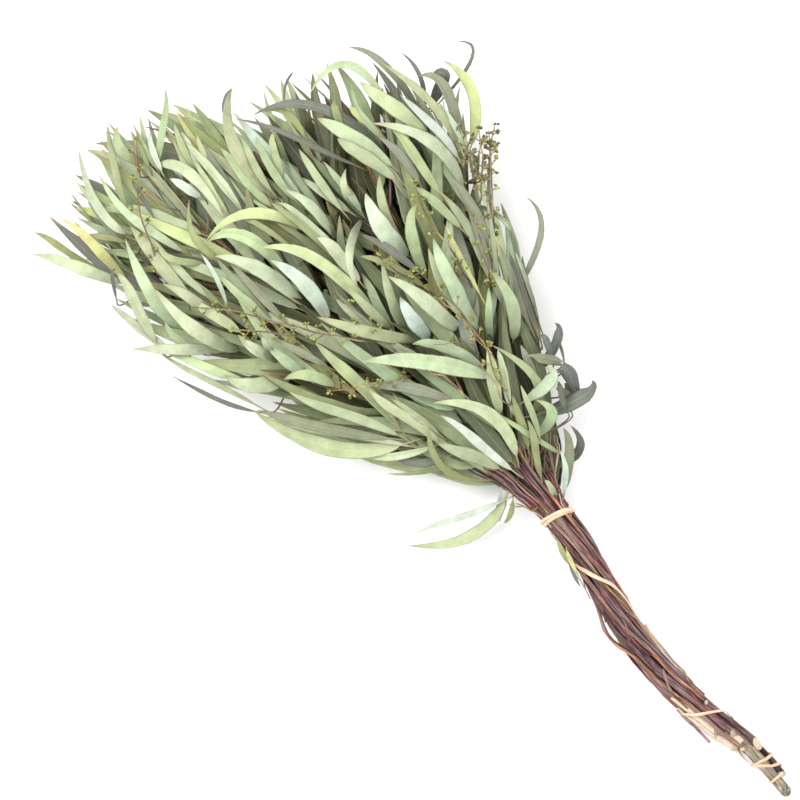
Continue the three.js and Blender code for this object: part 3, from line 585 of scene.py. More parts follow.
def crown_top(x, y):
    """The height of the crown's upper surface, which slopes down beyond its edge."""
    middle, z, wide, thick = crown_at(x)
    across = abs(y - middle) / wide
    if across > CROWN_EDGE:
        return (z + 0.2 * thick) * max(0.15, 1.49 - 0.5 * across)
    return z + thick * (1 - across**CROWN_POWER) ** (1 / CROWN_POWER)


def bezier(root, bend, end, t):
    t = np.asarray(t, float)[..., None]
    return root * (1 - t) ** 2 + bend * 2 * t * (1 - t) + end * t**2


def bezier_run(root, bend, end, t):
    t = np.asarray(t, float)[..., None]
    return unit((bend - root) * (1 - t) + (end - bend) * t)


def stem_stations(stem):
    steps = np.arange(STATIONS)
    below = [x for x in STATION_STEP * (steps + 1) if x > stem["cut"] + STATIONS_APART]
    above = mix(NECK_X, stem["end"], (steps / STATIONS) ** 1.5)
    stations = [stem["cut"], *below, *above, stem["end"]]
    if stem is not STEMS[BOWED_STEM]:
        return stations
    first, last = BOWED[0] - STATIONS_APART, BOWED[1] + STATIONS_APART
    rest = [x for x in stations if x < first or x > last]
    return sorted([*rest, *np.linspace(*BOWED, BOWED_STATIONS)])


def on_line(points, keys, key):
    i = 1
    while i < len(keys) - 1 and key > keys[i]:
        i += 1
    return mix(points[i - 1], points[i], (key - keys[i - 1]) / (keys[i] - keys[i - 1]))


def on_stem(stem, x):
    stations = stem_stations(stem)
    return on_line(stem_point(stem, np.array(stations, float)), stations, x)


def twig_route(stem, owner, index, turn):
    draw = draws(1, owner, index, turn)
    first, last = TWIG_REGION[0], stem["end"] + TWIG_REGION[1]
    x = mix(first, last, (index + 0.25 + 0.5 * draw()) / TWIGS_PER_STEM)
    root = on_stem(stem, x)
    run = run_at(root)
    facing = 1 if (index + owner) % 2 == 0 else -1
    swing = facing * draw(0.1, 1.0) * (1 if draw() < 0.5 else -1)
    sideways = np.array([0, facing * math.cos(swing), math.sin(swing)])
    sideways = unit(sideways - run * np.dot(sideways, run))
    slant, length = draw(*TWIG_SLANT), draw(*TWIG_LENGTH)
    bend = root + (run * math.cos(slant) + sideways * math.sin(slant)) * 0.45 * length
    end = bend + unit(run_at(bend) + 0.18 * sideways) * 0.6 * length
    return root, bend, end


# Where a leaf may root: its point on the frame's stem or twig, which is straight between
# a few stations, and the point on the smooth one that is shown.
skeleton = []


def add_place(owner, twig, step, point, shown):
    skeleton.append({"owner": owner, "twig": twig, "step": step, "point": point, "shown": shown})


for owner, stem in enumerate(STEMS):
    for step, x in enumerate(np.arange(SKELETON_START, stem["end"] - 8, SKELETON_STEP).tolist()):
        add_place(owner, -1, step, on_stem(stem, x), stem_point(stem, float(x)))

twigs = []
for index in range(TWIGS_PER_STEM):
    for owner, stem in enumerate(STEMS):
        for turn in range(TWIG_TURNS):
            route = twig_route(stem, owner, index, turn)
            end = route[2]
            if outness(end) > TWIG_OUTNESS or end[2] < TWIG_LOWEST or not stem_has(owner, end):
                continue
            twigs.append({"owner": owner, "index": index, "route": route})
            if index != FLOWER_TWIG:
                coarse = [bezier(*route, t) for t in TWIG_STATIONS]
                for step in range(2, TWIG_STEPS - 1):
                    share = step / TWIG_STEPS
                    point = on_line(coarse, TWIG_STATIONS, share)
                    add_place(owner, index, step, point, bezier(*route, share))
            break


CURVE_STEPS = 40


def even_curve(points, steps):
    """Evenly spaced points on the smooth line through the given ones (centripetal)."""
    points = np.array(points, float)
    points = np.concatenate([[2 * points[0] - points[1]], points, [2 * points[-1] - points[-2]]])
    line = []
    for a, b, c, d in zip(points, points[1:], points[2:], points[3:]):
        ab, bc, cd = (math.sqrt(np.linalg.norm(q - p)) for p, q in ((a, b), (b, c), (c, d)))
        start = ((b - a) / ab - (c - a) / (ab + bc) + (c - b) / bc) * bc
        finish = ((c - b) / bc - (d - b) / (bc + cd) + (d - c) / cd) * bc
        t = np.linspace(0, 1, CURVE_STEPS, endpoint=False)[:, None]
        squared = (3 * (c - b) - 2 * start - finish) * t**2
        line.append(b + start * t + squared + (2 * (b - c) + start + finish) * t**3)
    line = np.concatenate([*line, points[-2:-1]])
    length = lengths_along(line)
    even = np.linspace(0, length[-1], steps)
    return np.stack([np.interp(even, length, line[:, k]) for k in range(line.shape[1])], -1)


def add_twig(skin, points, thick_from, thick_to, draw, seed, colour=None):
    """A thin round twig. The seed picks the stretch of the bark pattern that it shows."""
    length = lengths_along(points)
    share = length / length[-1]
    radius = mix(thick_from, thick_to, share) * (1 + 0.12 * np.sin(length / draw(2.5, 5) + draw(0, 6)) ** 8)
    everything, faces, turn = round_rod(points, radius, TWIG_SIDES)
    grain = rod_grain(length, turn, 1.0)
    grain[:, 0] += TWIG_GRAIN * seed
    tint = np.zeros((len(everything), 4))
    tint[:-2] = np.repeat(bark_tint(radius, draw), TWIG_SIDES, axis=0)
    if colour is not None:
        tint[:-2] = np.array(colour) * draw(0.85, 1.15)
    tint[-2:] = tint[[0, -3]]
    skin.add(everything, faces, grain, tint, [0, 0, draw(), 0])


woods = [Skin() for _ in STEMS]
for owner, stem in enumerate(STEMS):
    add_stem(woods[owner], owner, stem)

# Thin side shoots lie in the grooves between the stems and part from them above the neck.
# Each has its turn round the bundle, its distance out, its radius and where it starts.
SHOOT_TINTS = [
    OLD_BARK, YOUNG_BARK, linear(138, 116, 90), linear(108, 66, 60),
    linear(100, 58, 60), linear(92, 70, 64), linear(120, 88, 68),
]
TWIGLET = linear(112, 92, 64)
AT_NECK = NECK_X - 8
OUTER_SHOOTS = [(15 + 30 * i, 10.35, 0.72, 120) for i in range(12)]
INNER_SHOOTS = [(60 * i, 4.6, 1.1, AT_NECK) for i in range(6)]
SHADED_RADIUS = 1.2  # shoots this thick lie in the shade between the stems and take a painted shade colour
DEEP_SHOOTS = [(137.5 * i, 2.8 + 0.36 * i, SHADED_RADIUS, AT_NECK) for i in range(16)]
SIDE_SHOOTS = [(30 * i, 8.7, SHADED_RADIUS, 130) for i in range(12)]
LEFT_SHOOTS = [
    (-38, 9.4, 1.35, AT_NECK), (-14, 9.8, 1.4, AT_NECK), (12, 9.8, 1.3, AT_NECK), (36, 9.4, 1.4, AT_NECK),
]
# Painted shade: a near-black bark for the shoots deep between the stems and at their sides.
PAINTED_SHADE_BARK = linear(58, 38, 38)
SHOOT_STARTS = (-28, 28)
SHOOT_ENDS = (350, 420)
SHOOT_PLACES = 110
SHOOT_TIP_RADIUS = 0.6
TWIG_RADII = (1.25, 0.7)
TWIG_POINTS = 25
FLOWER_TWIG_THIN = 0.75


def twig_line(twig):
    return bezier(*twig["route"], np.linspace(0, 1, TWIG_POINTS))


def add_shoot(skin, number, angle, out, radius, start):
    draw = draws(14, number)
    x = np.linspace(start + draw(*SHOOT_STARTS) * (start < AT_NECK), draw(*SHOOT_ENDS), SHOOT_PLACES)
    points = stem_point({"out": out, "angle": angle}, x)
    away = smooth((x - NECK_X - 12) / 90)
    points[:, 1] += away * draw(-9, 9)
    points[:, 2] += away * draw(-4, 5)
    points[:, 1] += 0.18 * np.sin(x / draw(6, 10) + draw(0, 6))
    # The shoots between the stems take the painted shade colour.
    colour = PAINTED_SHADE_BARK if radius == SHADED_RADIUS else SHOOT_TINTS[number % len(SHOOT_TINTS)]
    add_twig(skin, points, radius, SHOOT_TIP_RADIUS, draw, 200 + number, colour)


for number, shoot in enumerate(OUTER_SHOOTS + INNER_SHOOTS + DEEP_SHOOTS + SIDE_SHOOTS + LEFT_SHOOTS):
    add_shoot(woods[number % len(STEMS)], number, *shoot)
for seed, twig in enumerate(twigs):
    thin = FLOWER_TWIG_THIN if twig["index"] == FLOWER_TWIG else 1.0
    radii = [radius * thin for radius in TWIG_RADII]
    add_twig(woods[twig["owner"]], twig_line(twig), *radii, draws(12, seed), seed)

# ----------------------------------------------------------------- the leaves
# Willow eucalyptus leaves: long thin sickles on short stalks, leathery when
# fresh and now dried stiff, a little folded along the midrib, wavy and twisted.
# Both faces are a matt grey green, and a few are silvered, yellowed or dark.
LEAF_LENGTH = (84, 128)
LEAF_HALF_WIDTH = (4.6, 7.4)
LEAF_SLANT = (0.2, 0.66)
SICKLE = (0.04, 0.15)  # how far a leaf bends sideways, as a share of its length
ARCH = (0.02, 0.12)  # and how far it bows outwards
GROWN_ROLL = (-0.7, 0.7)
GROWN_WIND = (-0.4, 0.4)
FRONT_X = 560  # from here on towards the tips, leaves deep inside get less painted shade too
FRONT_DEEP = 110
# The share of its tone that a leaf keeps at the crown's surface, where it has no painted shade.
UNSHADED_LEAF = 0.71
DEEP_LEAF_SHADE = np.array([0.09, 0.086, 0.046])  # painted shade: leaves deep in the bunch keep only this share of their tone
FULL_SHADE_BELOW = 0.5  # below this outness a leaf has the full painted shade
SHADE_FADES_OVER = 0.27  # and this much further out it has none
BLADE_PEAK = 3.755  # makes the blade's widest place one
BLADE_SHAPE = (0.75, 1.25)
STRAP = 0.68  # below 1 the blade keeps its width towards stalk and tip
GROWN_BROADER = 1.04
LEAF_KEEL = 1.3
STALK_HALF_WIDTH = 0.75
STALK_SHARE = 0.1
BLADE_THICK = 0.34
STALK_THICK = 1.1
SHOWN_STALK = {"half_width": 0.55, "end": 0.11, "blade_from": 0.08, "blade_over": 0.06}
STALK_SETTLES = 0.06
SWERVE = (-1.4, 1.4)
SAG = (-1.3, 1.3)
FOLD = (-0.1, 0.34)
CURL = (-0.02, 0.03)
WAVES = (12, 26)
WAVE_SIZE = (0.1, 0.8)
MIDRIB_GROOVE = 0.1
MIDRIB = 0.32
ABOVE_TABLE = 0.05
TIP_ABOVE_TABLE = 0.1
TURN_LIMIT = 0.35
TIP_SINKS = 3
STALK_DEPTH = 14  # a seen leaf's stalk starts this far below the crown's upper surface
LOWEST_TIP = 2
LOWEST_LEAF = 4
HEIGHT_COUNTS = 0.45
PLACES_APART = 9
SEEN_HEIGHTS = (0, 4, -4, 8, -8, 12, -13, -18)
LEAF_ROWS = np.array([
    0, 0.05, 0.1, 0.125, 0.16, 0.21, 0.27, 0.34, 0.42, 0.5, 0.58, 0.66, 0.74, 0.82, 0.89, 0.945, 0.98,
])
MIDDLE_ROW = 9  # the one of these rows that is half-way along
ACROSS_TOP = np.array([-1, -0.8, -0.45, -0.1, 0, 0.1, 0.45, 0.8, 1])
ACROSS_UNDER = np.array([0.8, 0.45, 0.1, 0, -0.1, -0.45, -0.8])
TONES = {
    "sage": linear(176, 188, 146),
    "light sage": linear(196, 208, 166),
    "silver": linear(208, 218, 198),
    "olive": linear(156, 162, 112),
    "yellow": linear(208, 210, 146),
    "grey": linear(116, 119, 108),
    "dusk": linear(142, 149, 124),
    "brown": linear(150, 112, 80),
}
# Leaves that show whole in the picture: where the tip, the middle and the root lie in
# its points, the width in its points, and the tone.
SEEN_LEAVES = [
    ((33, 254), (80, 268), (118, 313), 13, "light sage"),
    ((33, 232), (62, 248), (104, 285), 9, "olive"),
    ((64, 219), (100, 250), (133, 283), 11, "yellow"),
    ((75, 144), (103, 212), (130, 262), 10, "light sage"),
    ((102, 176), (142, 225), (185, 283), 10, "light sage"),
    ((111, 127), (117, 165), (145, 210), 9, "sage"),
    ((120, 128), (127, 155), (141, 177), 12, "sage"),
    ((226, 220), (193, 177), (142, 178), 12, "light sage"),
    ((165, 88), (166, 128), (182, 165), 8, "sage"),
    ((233, 87), (238, 152), (285, 222), 16, "sage"),
    ((192, 201), (203, 247), (240, 285), 8, "olive"),
    ((160, 243), (178, 262), (207, 282), 8, "sage"),
    ((209, 243), (262, 216), (335, 248), 12, "yellow"),
    ((210, 244), (250, 240), (300, 285), 15, "light sage"),
    ((217, 258), (265, 273), (314, 318), 14, "light sage"),
    ((272, 262), (308, 288), (343, 322), 16, "silver"),
    ((262, 250), (325, 267), (385, 332), 14, "light sage"),
    ((254, 119), (325, 113), (414, 183), 11, "grey"),
    ((237, 122), (300, 143), (365, 180), 6, "grey"),
    ((310, 99), (350, 68), (402, 112), 9, "light sage"),
    ((348, 48), (385, 68), (432, 105), 8, "dusk"),
    ((352, 85), (368, 127), (400, 160), 8, "sage"),
    ((347, 172), (347, 195), (358, 215), 9, "light sage"),
    ((380, 178), (384, 212), (410, 258), 10, "sage"),
    ((366, 196), (384, 233), (415, 267), 20, "silver"),
    ((360, 292), (351, 250), (364, 213), 10, "light sage"),
    ((285, 192), (318, 214), (348, 243), 13, "light sage"),
    ((400, 53), (420, 80), (447, 107), 5, "grey"),
    ((453, 42), (472, 58), (476, 90), 4, "grey"),
    ((442, 62), (472, 95), (487, 148), 12, "yellow"),
    ((430, 80), (443, 82), (458, 92), 13, "grey"),
    ((418, 80), (447, 97), (474, 133), 12, "dusk"),
    ((380, 65), (428, 104), (477, 168), 10, "sage"),
    ((372, 127), (433, 147), (481, 203), 14, "light sage"),
    ((511, 238), (502, 220), (490, 205), 6, "sage"),
    ((526, 197), (540, 238), (526, 285), 7, "dusk"),
    ((497, 245), (510, 280), (530, 320), 6, "dusk"),
    ((131, 349), (180, 350), (232, 375), 12, "light sage"),
    ((128, 240), (155, 298), (172, 346), 14, "light sage"),
    ((158, 290), (203, 334), (245, 372), 16, "light sage"),
    ((165, 285), (200, 305), (236, 328), 13, "sage"),
    ((240, 335), (262, 353), (280, 375), 14, "light sage"),
    ((262, 335), (270, 350), (281, 368), 8, "sage"),
    ((226, 375), (260, 386), (292, 388), 18, "light sage"),
    ((285, 380), (312, 376), (340, 390), 12, "sage"),
    ((160, 352), (205, 378), (258, 406), 6, "sage"),
    ((173, 376), (215, 398), (258, 411), 5, "grey"),
    ((255, 411), (328, 447), (405, 440), 18, "light sage"),
    ((316, 343), (356, 381), (402, 432), 14, "sage"),
    ((363, 362), (430, 363), (498, 386), 18, "light sage"),
    ((318, 318), (372, 334), (430, 348), 12, "sage"),
    ((400, 298), (414, 322), (432, 348), 16, "silver"),
    ((382, 262), (393, 304), (412, 342), 12, "sage"),
    ((345, 285), (370, 311), (395, 340), 10, "sage"),
    ((388, 278), (430, 307), (475, 333), 16, "light sage"),
    ((433, 240), (454, 288), (490, 349), 18, "light sage"),
    ((418, 205), (412, 240), (440, 288), 13, "sage"),
    ((488, 288), (488, 315), (495, 343), 8, "sage"),
    ((488, 270), (512, 308), (533, 350), 14, "sage"),
    ((555, 323), (557, 342), (562, 366), 8, "grey"),
    ((593, 380), (580, 398), (568, 420), 12, "grey"),
    ((535, 400), (551, 417), (573, 424), 12, "sage"),
    ((544, 367), (549, 381), (552, 395), 11, "light sage"),
    ((570, 425), (579, 452), (568, 480), 10, "grey"),
    ((490, 345), (536, 382), (572, 417), 10, "sage"),
    ((487, 348), (493, 380), (504, 418), 14, "light sage"),
    ((432, 403), (490, 415), (518, 470), 14, "light sage"),
    ((437, 443), (470, 455), (500, 474), 14, "sage"),
    ((428, 420), (442, 466), (493, 488), 9, "olive"),
    ((388, 474), (425, 472), (465, 471), 5, "sage"),
    ((405, 547), (477, 534), (505, 490), 10, "light sage"),
    ((417, 534), (455, 520), (497, 513), 7, "silver"),
    ((545, 480), (551, 488), (559, 499), 7, "light sage"),
]

# Leaves that show between those, part of the way down. They lie under them.
BETWEEN_LEAVES = [
    ((90, 203), (107, 224), (130, 252), 6, "dusk"),
    ((133, 133), (142, 150), (152, 172), 6, "olive"),
    ((141, 134), (148, 152), (160, 172), 6, "sage"),
    ((153, 134), (155, 152), (165, 175), 7, "silver"),
    ((176, 126), (184, 148), (198, 172), 8, "sage"),
    ((182, 133), (192, 152), (205, 178), 9, "light sage"),
    ((199, 138), (208, 160), (222, 185), 7, "light sage"),
    ((139, 158), (140, 165), (142, 176), 6, "brown"),
    ((185, 143), (215, 175), (245, 215), 10, "light sage"),
    ((203, 155), (230, 185), (262, 222), 9, "light sage"),
    ((208, 165), (222, 195), (238, 225), 9, "yellow"),
    ((222, 150), (245, 178), (275, 210), 12, "light sage"),
    ((196, 162), (212, 190), (232, 218), 8, "light sage"),
    ((172, 181), (188, 190), (204, 200), 10, "silver"),
    ((84, 240), (103, 238), (130, 245), 8, "olive"),
    ((118, 270), (115, 280), (118, 300), 4, "grey"),
    ((133, 180), (142, 195), (158, 222), 5, "grey"),
    ((148, 238), (170, 243), (195, 262), 8, "olive"),
    ((232, 88), (226, 103), (229, 125), 6, "grey"),
    ((296, 72), (288, 84), (286, 104), 3, "grey"),
    ((360, 85), (390, 108), (428, 138), 16, "light sage"),
    ((336, 104), (337, 116), (345, 135), 9, "olive"),
    ((351, 108), (360, 120), (380, 133), 8, "yellow"),
    ((266, 115), (290, 118), (306, 142), 8, "olive"),
    ((297, 122), (306, 138), (322, 150), 7, "dusk"),
    ((318, 122), (352, 140), (395, 172), 16, "light sage"),
    ((338, 142), (362, 158), (398, 185), 14, "sage"),
    ((243, 140), (255, 165), (275, 195), 8, "sage"),
    ((258, 140), (272, 170), (300, 205), 9, "sage"),
    ((276, 135), (276, 155), (285, 185), 8, "sage"),
    ((262, 150), (282, 175), (310, 210), 8, "light sage"),
    ((300, 152), (318, 180), (345, 215), 9, "sage"),
    ((310, 155), (335, 185), (365, 220), 9, "sage"),
    ((290, 165), (305, 190), (330, 225), 9, "dusk"),
    ((325, 165), (345, 190), (362, 215), 8, "sage"),
    ((272, 205), (300, 225), (335, 262), 8, "olive"),
    ((250, 200), (285, 225), (325, 262), 7, "sage"),
    ((400, 98), (432, 128), (458, 162), 10, "silver"),
    ((438, 105), (458, 135), (476, 172), 7, "silver"),
    ((388, 128), (412, 155), (442, 200), 11, "sage"),
    ((378, 140), (402, 160), (420, 188), 10, "dusk"),
    ((418, 140), (446, 172), (472, 215), 9, "sage"),
    ((415, 190), (435, 205), (462, 232), 10, "sage"),
    ((450, 180), (470, 205), (488, 245), 9, "dusk"),
    ((378, 165), (395, 180), (415, 205), 9, "sage"),
    ((490, 150), (489, 190), (495, 240), 6, "grey"),
    ((119, 274), (137, 302), (160, 345), 12, "light sage"),
    ((112, 305), (140, 328), (175, 352), 9, "light sage"),
    ((133, 228), (160, 262), (198, 303), 14, "sage"),
    ((140, 226), (172, 262), (212, 300), 9, "light sage"),
    ((160, 262), (188, 280), (222, 305), 9, "sage"),
    ((203, 255), (218, 278), (229, 308), 5, "silver"),
    ((221, 275), (245, 300), (275, 325), 10, "sage"),
    ((230, 262), (258, 292), (290, 325), 9, "dusk"),
    ((196, 300), (216, 316), (243, 334), 12, "light sage"),
    ((167, 322), (180, 340), (200, 352), 10, "sage"),
    ((165, 352), (205, 366), (250, 382), 10, "light sage"),
    ((275, 338), (300, 352), (330, 368), 8, "dusk"),
    ((268, 345), (288, 362), (310, 380), 12, "sage"),
    ((219, 260), (240, 285), (272, 318), 8, "dusk"),
    ((240, 222), (262, 228), (295, 252), 6, "olive"),
    ((300, 180), (325, 196), (352, 215), 9, "sage"),
    ((280, 205), (305, 222), (342, 252), 8, "light sage"),
    ((318, 240), (338, 255), (362, 285), 14, "light sage"),
    ((362, 237), (390, 252), (420, 275), 9, "grey"),
    ((360, 258), (392, 268), (425, 290), 9, "olive"),
    ((362, 274), (376, 302), (398, 338), 10, "sage"),
    ((428, 250), (440, 282), (462, 318), 10, "light sage"),
    ((446, 228), (458, 255), (482, 300), 5, "yellow"),
    ((462, 185), (476, 225), (488, 272), 10, "dusk"),
    ((485, 190), (492, 240), (495, 270), 6, "sage"),
    ((335, 298), (358, 318), (388, 345), 9, "sage"),
    ((412, 345), (445, 348), (485, 372), 14, "sage"),
    ((362, 385), (410, 388), (455, 405), 12, "dusk"),
    ((500, 250), (514, 285), (532, 330), 7, "dusk"),
    ((508, 252), (520, 285), (538, 335), 7, "grey"),
    ((514, 252), (524, 275), (535, 310), 5, "light sage"),
    ((522, 256), (527, 285), (540, 325), 6, "grey"),
    ((525, 278), (533, 305), (541, 340), 5, "dusk"),
    ((541, 335), (546, 342), (552, 360), 7, "grey"),
    ((522, 356), (545, 357), (562, 362), 6, "dusk"),
    ((560, 366), (570, 375), (578, 398), 14, "grey"),
    ((520, 345), (530, 368), (545, 400), 9, "dusk"),
    ((497, 350), (503, 375), (510, 410), 9, "light sage"),
    ((556, 388), (565, 395), (572, 412), 10, "grey"),
    ((258, 410), (318, 426), (395, 438), 12, "dusk"),
    ((290, 392), (340, 412), (402, 438), 12, "sage"),
    ((285, 425), (345, 434), (415, 448), 7, "light sage"),
    ((355, 452), (395, 456), (432, 446), 9, "light sage"),
    ((393, 457), (420, 463), (448, 455), 9, "grey"),
    ((500, 523), (502, 505), (502, 488), 10, "silver"),
    ((505, 524), (511, 515), (513, 500), 6, "olive"),
    ((368, 388), (402, 415), (440, 445), 13, "light sage"),
    ((390, 398), (415, 415), (440, 435), 8, "sage"),
    ((440, 415), (475, 440), (515, 472), 10, "silver"),
    ((462, 430), (485, 448), (512, 470), 9, "dusk"),
    ((527, 420), (535, 445), (542, 480), 9, "olive"),
    ((490, 410), (530, 435), (565, 455), 7, "sage"),
    ((563, 428), (570, 455), (565, 492), 10, "dusk"),
    ((560, 450), (566, 470), (563, 495), 6, "silver"),
    ((512, 395), (520, 420), (528, 450), 9, "olive"),
    ((520, 385), (530, 410), (540, 440), 8, "sage"),
    ((509, 405), (516, 412), (524, 425), 9, "sage"),
    ((558, 333), (561, 347), (564, 362), 3, "grey"),
    ((544, 335), (548, 341), (549, 353), 4, "grey"),
    ((532, 357), (547, 361), (562, 366), 9, "sage"),
    ((557, 370), (568, 377), (578, 388), 9, "grey"),
    ((558, 381), (561, 395), (568, 412), 8, "grey"),
    ((565, 383), (570, 392), (573, 405), 9, "grey"),
]
# Some leaves are broader than that, found by their tips.
BROADER = {
    (217, 258): 1.2, (318, 318): 1.2, (544, 367): 1.3, (555, 323): 1.4, (593, 380): 1.4, (405, 547): 1.3,
}
BETWEEN_HEIGHTS = (-3, -6, -9, -12, -15, -18, -22, -26)


def from_picture(at):
    du = (at[0] - LEAF_FROM_PICTURE["cut_end"][0]) * LEAF_FROM_PICTURE["millimetres"]
    dv = (at[1] - LEAF_FROM_PICTURE["cut_end"][1]) * LEAF_FROM_PICTURE["millimetres"]
    a, b = LEAF_FROM_PICTURE["along"]
    return a * du + b * dv, b * du - a * dv


# Thin bare twigs lie on the stems: the first ones rise from the tie into the crown,
# and the others run down the bundle and sink in at both ends.
SALMON = linear(168, 128, 112)
DARK_RED = linear(112, 58, 52)
PALE_TWIG = linear(192, 172, 148)
STRAW = linear(170, 148, 102)
ROSE = linear(162, 122, 120)
HIDDEN_FOOT = [(562, 504), (559, 492), (556, 478)]  # the part of the upright twigs that lies under others
NECK_TWIGS = [
    (0.55, SALMON, [
        (549, 514), (540, 504), (532, 497), (525, 491), (517, 483), (510, 476), (500, 467), (490, 459),
        (482, 452),
    ]),
    (0.5, SALMON, [(531, 507), (523, 500), (517, 496), (511, 489), (504, 483)]),
    (1.0, DARK_RED, [(537, 505), (529, 498), (520, 491), (512, 482), (502, 474), (493, 468), (484, 462)]),
    (0.5, STRAW, [(539, 506), (535, 510), (532, 511), (527, 508), (521, 505), (516, 504)]),
    (0.6, PALE_TWIG, [(543, 518), (537, 514), (532, 512), (528, 509), (523, 507), (516, 507), (510, 505)]),
    (0.6, SALMON, [(563, 502), (561, 490), (557, 481), (554, 471), (551, 463), (547, 455), (545, 449)]),
    (0.55, ROSE, [(558, 486), (556, 482), (554, 477), (550, 470), (547, 464), (543, 456)]),
    (1.0, DARK_RED, [(560, 493), (556, 487), (552, 480), (549, 474), (546, 468)]),
    (0.5, PALE_TWIG, [(541, 473), (539, 467), (536, 462), (533, 456), (529, 450), (524, 445), (519, 440)]),
    (0.5, ROSE, HIDDEN_FOOT + [(551, 443), (551, 438), (551, 430), (551, 424)]),
    (0.45, PALE_TWIG, HIDDEN_FOOT + [(558, 447), (556, 444), (555, 440), (555, 435)]),
    (0.45, PALE_TWIG, HIDDEN_FOOT + [(560, 446), (558, 442), (558, 436)]),
    (0.5, PALE_TWIG, HIDDEN_FOOT + [(547, 436), (548, 430), (549, 423)]),
    (0.6, PALE_TWIG, HIDDEN_FOOT + [(553, 462), (551, 454), (550, 449)]),
]
BUNDLE_TWIGS = [
    (0.55, SALMON, [(555, 521), (561, 529), (570, 540), (578, 551), (585, 560), (593, 568), (598, 574)]),
    (0.7, DARK_RED, [(551, 525), (559, 534), (567, 542), (574, 550), (580, 557), (586, 565)]),
    (0.5, STRAW, [(549, 528), (554, 537), (562, 546), (568, 555), (575, 563), (580, 567)]),
    (0.55, STRAW, [(574, 563), (576, 570), (577, 580), (579, 588), (585, 595), (589, 598)]),
    (0.55, SALMON, [(580, 568), (583, 574), (585, 584), (588, 595), (590, 602)]),
    (0.55, ROSE, [(608, 587), (613, 594), (619, 601), (626, 610), (635, 618), (643, 625), (650, 630)]),
    (0.6, ROSE, [(595, 594), (598, 600), (603, 609), (605, 616), (607, 624)]),
    (0.6, ROSE, [(617, 606), (621, 613), (624, 621), (628, 629), (630, 638), (633, 648)]),
    (0.6, ROSE, [(628, 616), (632, 623), (636, 631), (640, 638), (645, 646)]),
    (0.7, STRAW, [
        (648, 626), (651, 630), (658, 637), (664, 645), (670, 652), (674, 658), (680, 666), (686, 673),
        (691, 683), (697, 691), (703, 698),
    ]),
    (0.8, DARK_RED, [(684, 686), (692, 694), (699, 701), (707, 710), (713, 717)]),
    (0.8, SALMON, [(722, 722), (730, 728), (740, 735), (750, 744), (759, 754), (768, 762)]),
]
# Two side stems broke off short: one lies free of the bundle, the other is a stub.
BROKEN_TWIGS = [
    (1.3, ROSE, [(680, 712), (689, 722), (697, 729), (705, 738), (713, 746)]),
    (0.9, PALE_TWIG, [(676, 697), (672, 691), (670, 687), (667, 680), (665, 671)]),
]
TWIG_EASE = 1.7
SUNK = 2.6
SINKING = 7  # a sunk end goes down into the bundle over this length
TWIG_PLACES = 48
EVENED = 3
TWIG_REACH = 12.9
FREE_REACH = 60
NEAR_TIE = 285  # a twig that shows from below this x on has its hidden foot a little behind and lower
FOOT_BACK = 12
FOOT_DOWN = 3
NECK_ROOT = {"back": 8, "down": 4}  # the others root at the place nearest to this far behind them
TWIG_WAVER = 0.15
LAID_PLACES = 70
LAID_TAPER = 0.8
LAID_TWIGS = [
    *((*row, (False, False), FREE_REACH) for row in NECK_TWIGS),
    *((*row, (True, True), TWIG_REACH) for row in BUNDLE_TWIGS),
    *((*row, (True, False), FREE_REACH) for row in BROKEN_TWIGS),
]


def nearest_places(x, y, height, places=6):
    """The rooting places nearest to a point, a little apart from each other."""
    at = np.array([s["point"] for s in skeleton])
    cost = np.hypot(at[:, 0] - x, at[:, 1] - y) + HEIGHT_COUNTS * np.abs(at[:, 2] - height)
    chosen = []
    for i in np.argsort(cost, kind="stable"):
        if len(chosen) == places:
            break
        if all(np.linalg.norm(c["point"] - at[i]) > PLACES_APART for c in chosen):
            chosen.append(skeleton[i])
    return chosen


def on_stems(x, y, ease):
    """The height at which a twig rests on the stems under it, or on the fan above the neck."""
    if x > NECK_X:
        across = (y - axis_y(x)) / spread(FAN_SLOPE, x)
        round_top = math.sqrt(max(1.0, (OUTER + ease) ** 2 - across**2))
        return axis_z(x) + round_top * spread(RISE_SLOPE, x)
    over = ease - TWIG_EASE
    tops = [float(axis_z(x)) + 1]
    for stem in STEMS:
        middle = stem_point(stem, x)
        reach = float(stem_radius(stem, x)) * BARK_SWELL + max(over, 0.0)
        beside = abs(y - middle[1])
        if stem["cut"] < x and beside < reach:
            tops.append(float(middle[2]) + math.sqrt(reach**2 - beside**2) + min(over, 0.0))
    return max(tops)


def laid_twig(picture, ease, sunk, reach):
    """The twig's line over the stems, at most so far out to the side, with its sunk ends."""
    flat = even_curve([from_picture(at) for at in picture], TWIG_PLACES)
    x = flat[:, 0]
    wide = reach * spread(FAN_SLOPE, x)
    y = np.clip(flat[:, 1], axis_y(x) - wide, axis_y(x) + wide)
    past = lengths_along(flat)
    from_first = smooth(past / SINKING) if sunk[0] else np.ones(len(past))
    from_last = smooth((past[-1] - past) / SINKING) if sunk[1] else np.ones(len(past))
    eases = mix(-SUNK, ease, np.minimum(from_first, from_last))
    z = np.array([on_stems(*place) for place in zip(x, y, eases)])
    window = 2 * EVENED + 1
    z = np.convolve(np.pad(z, EVENED, mode="edge"), np.full(window, 1 / window), "valid")
    return list(np.stack([x, y, z], -1))


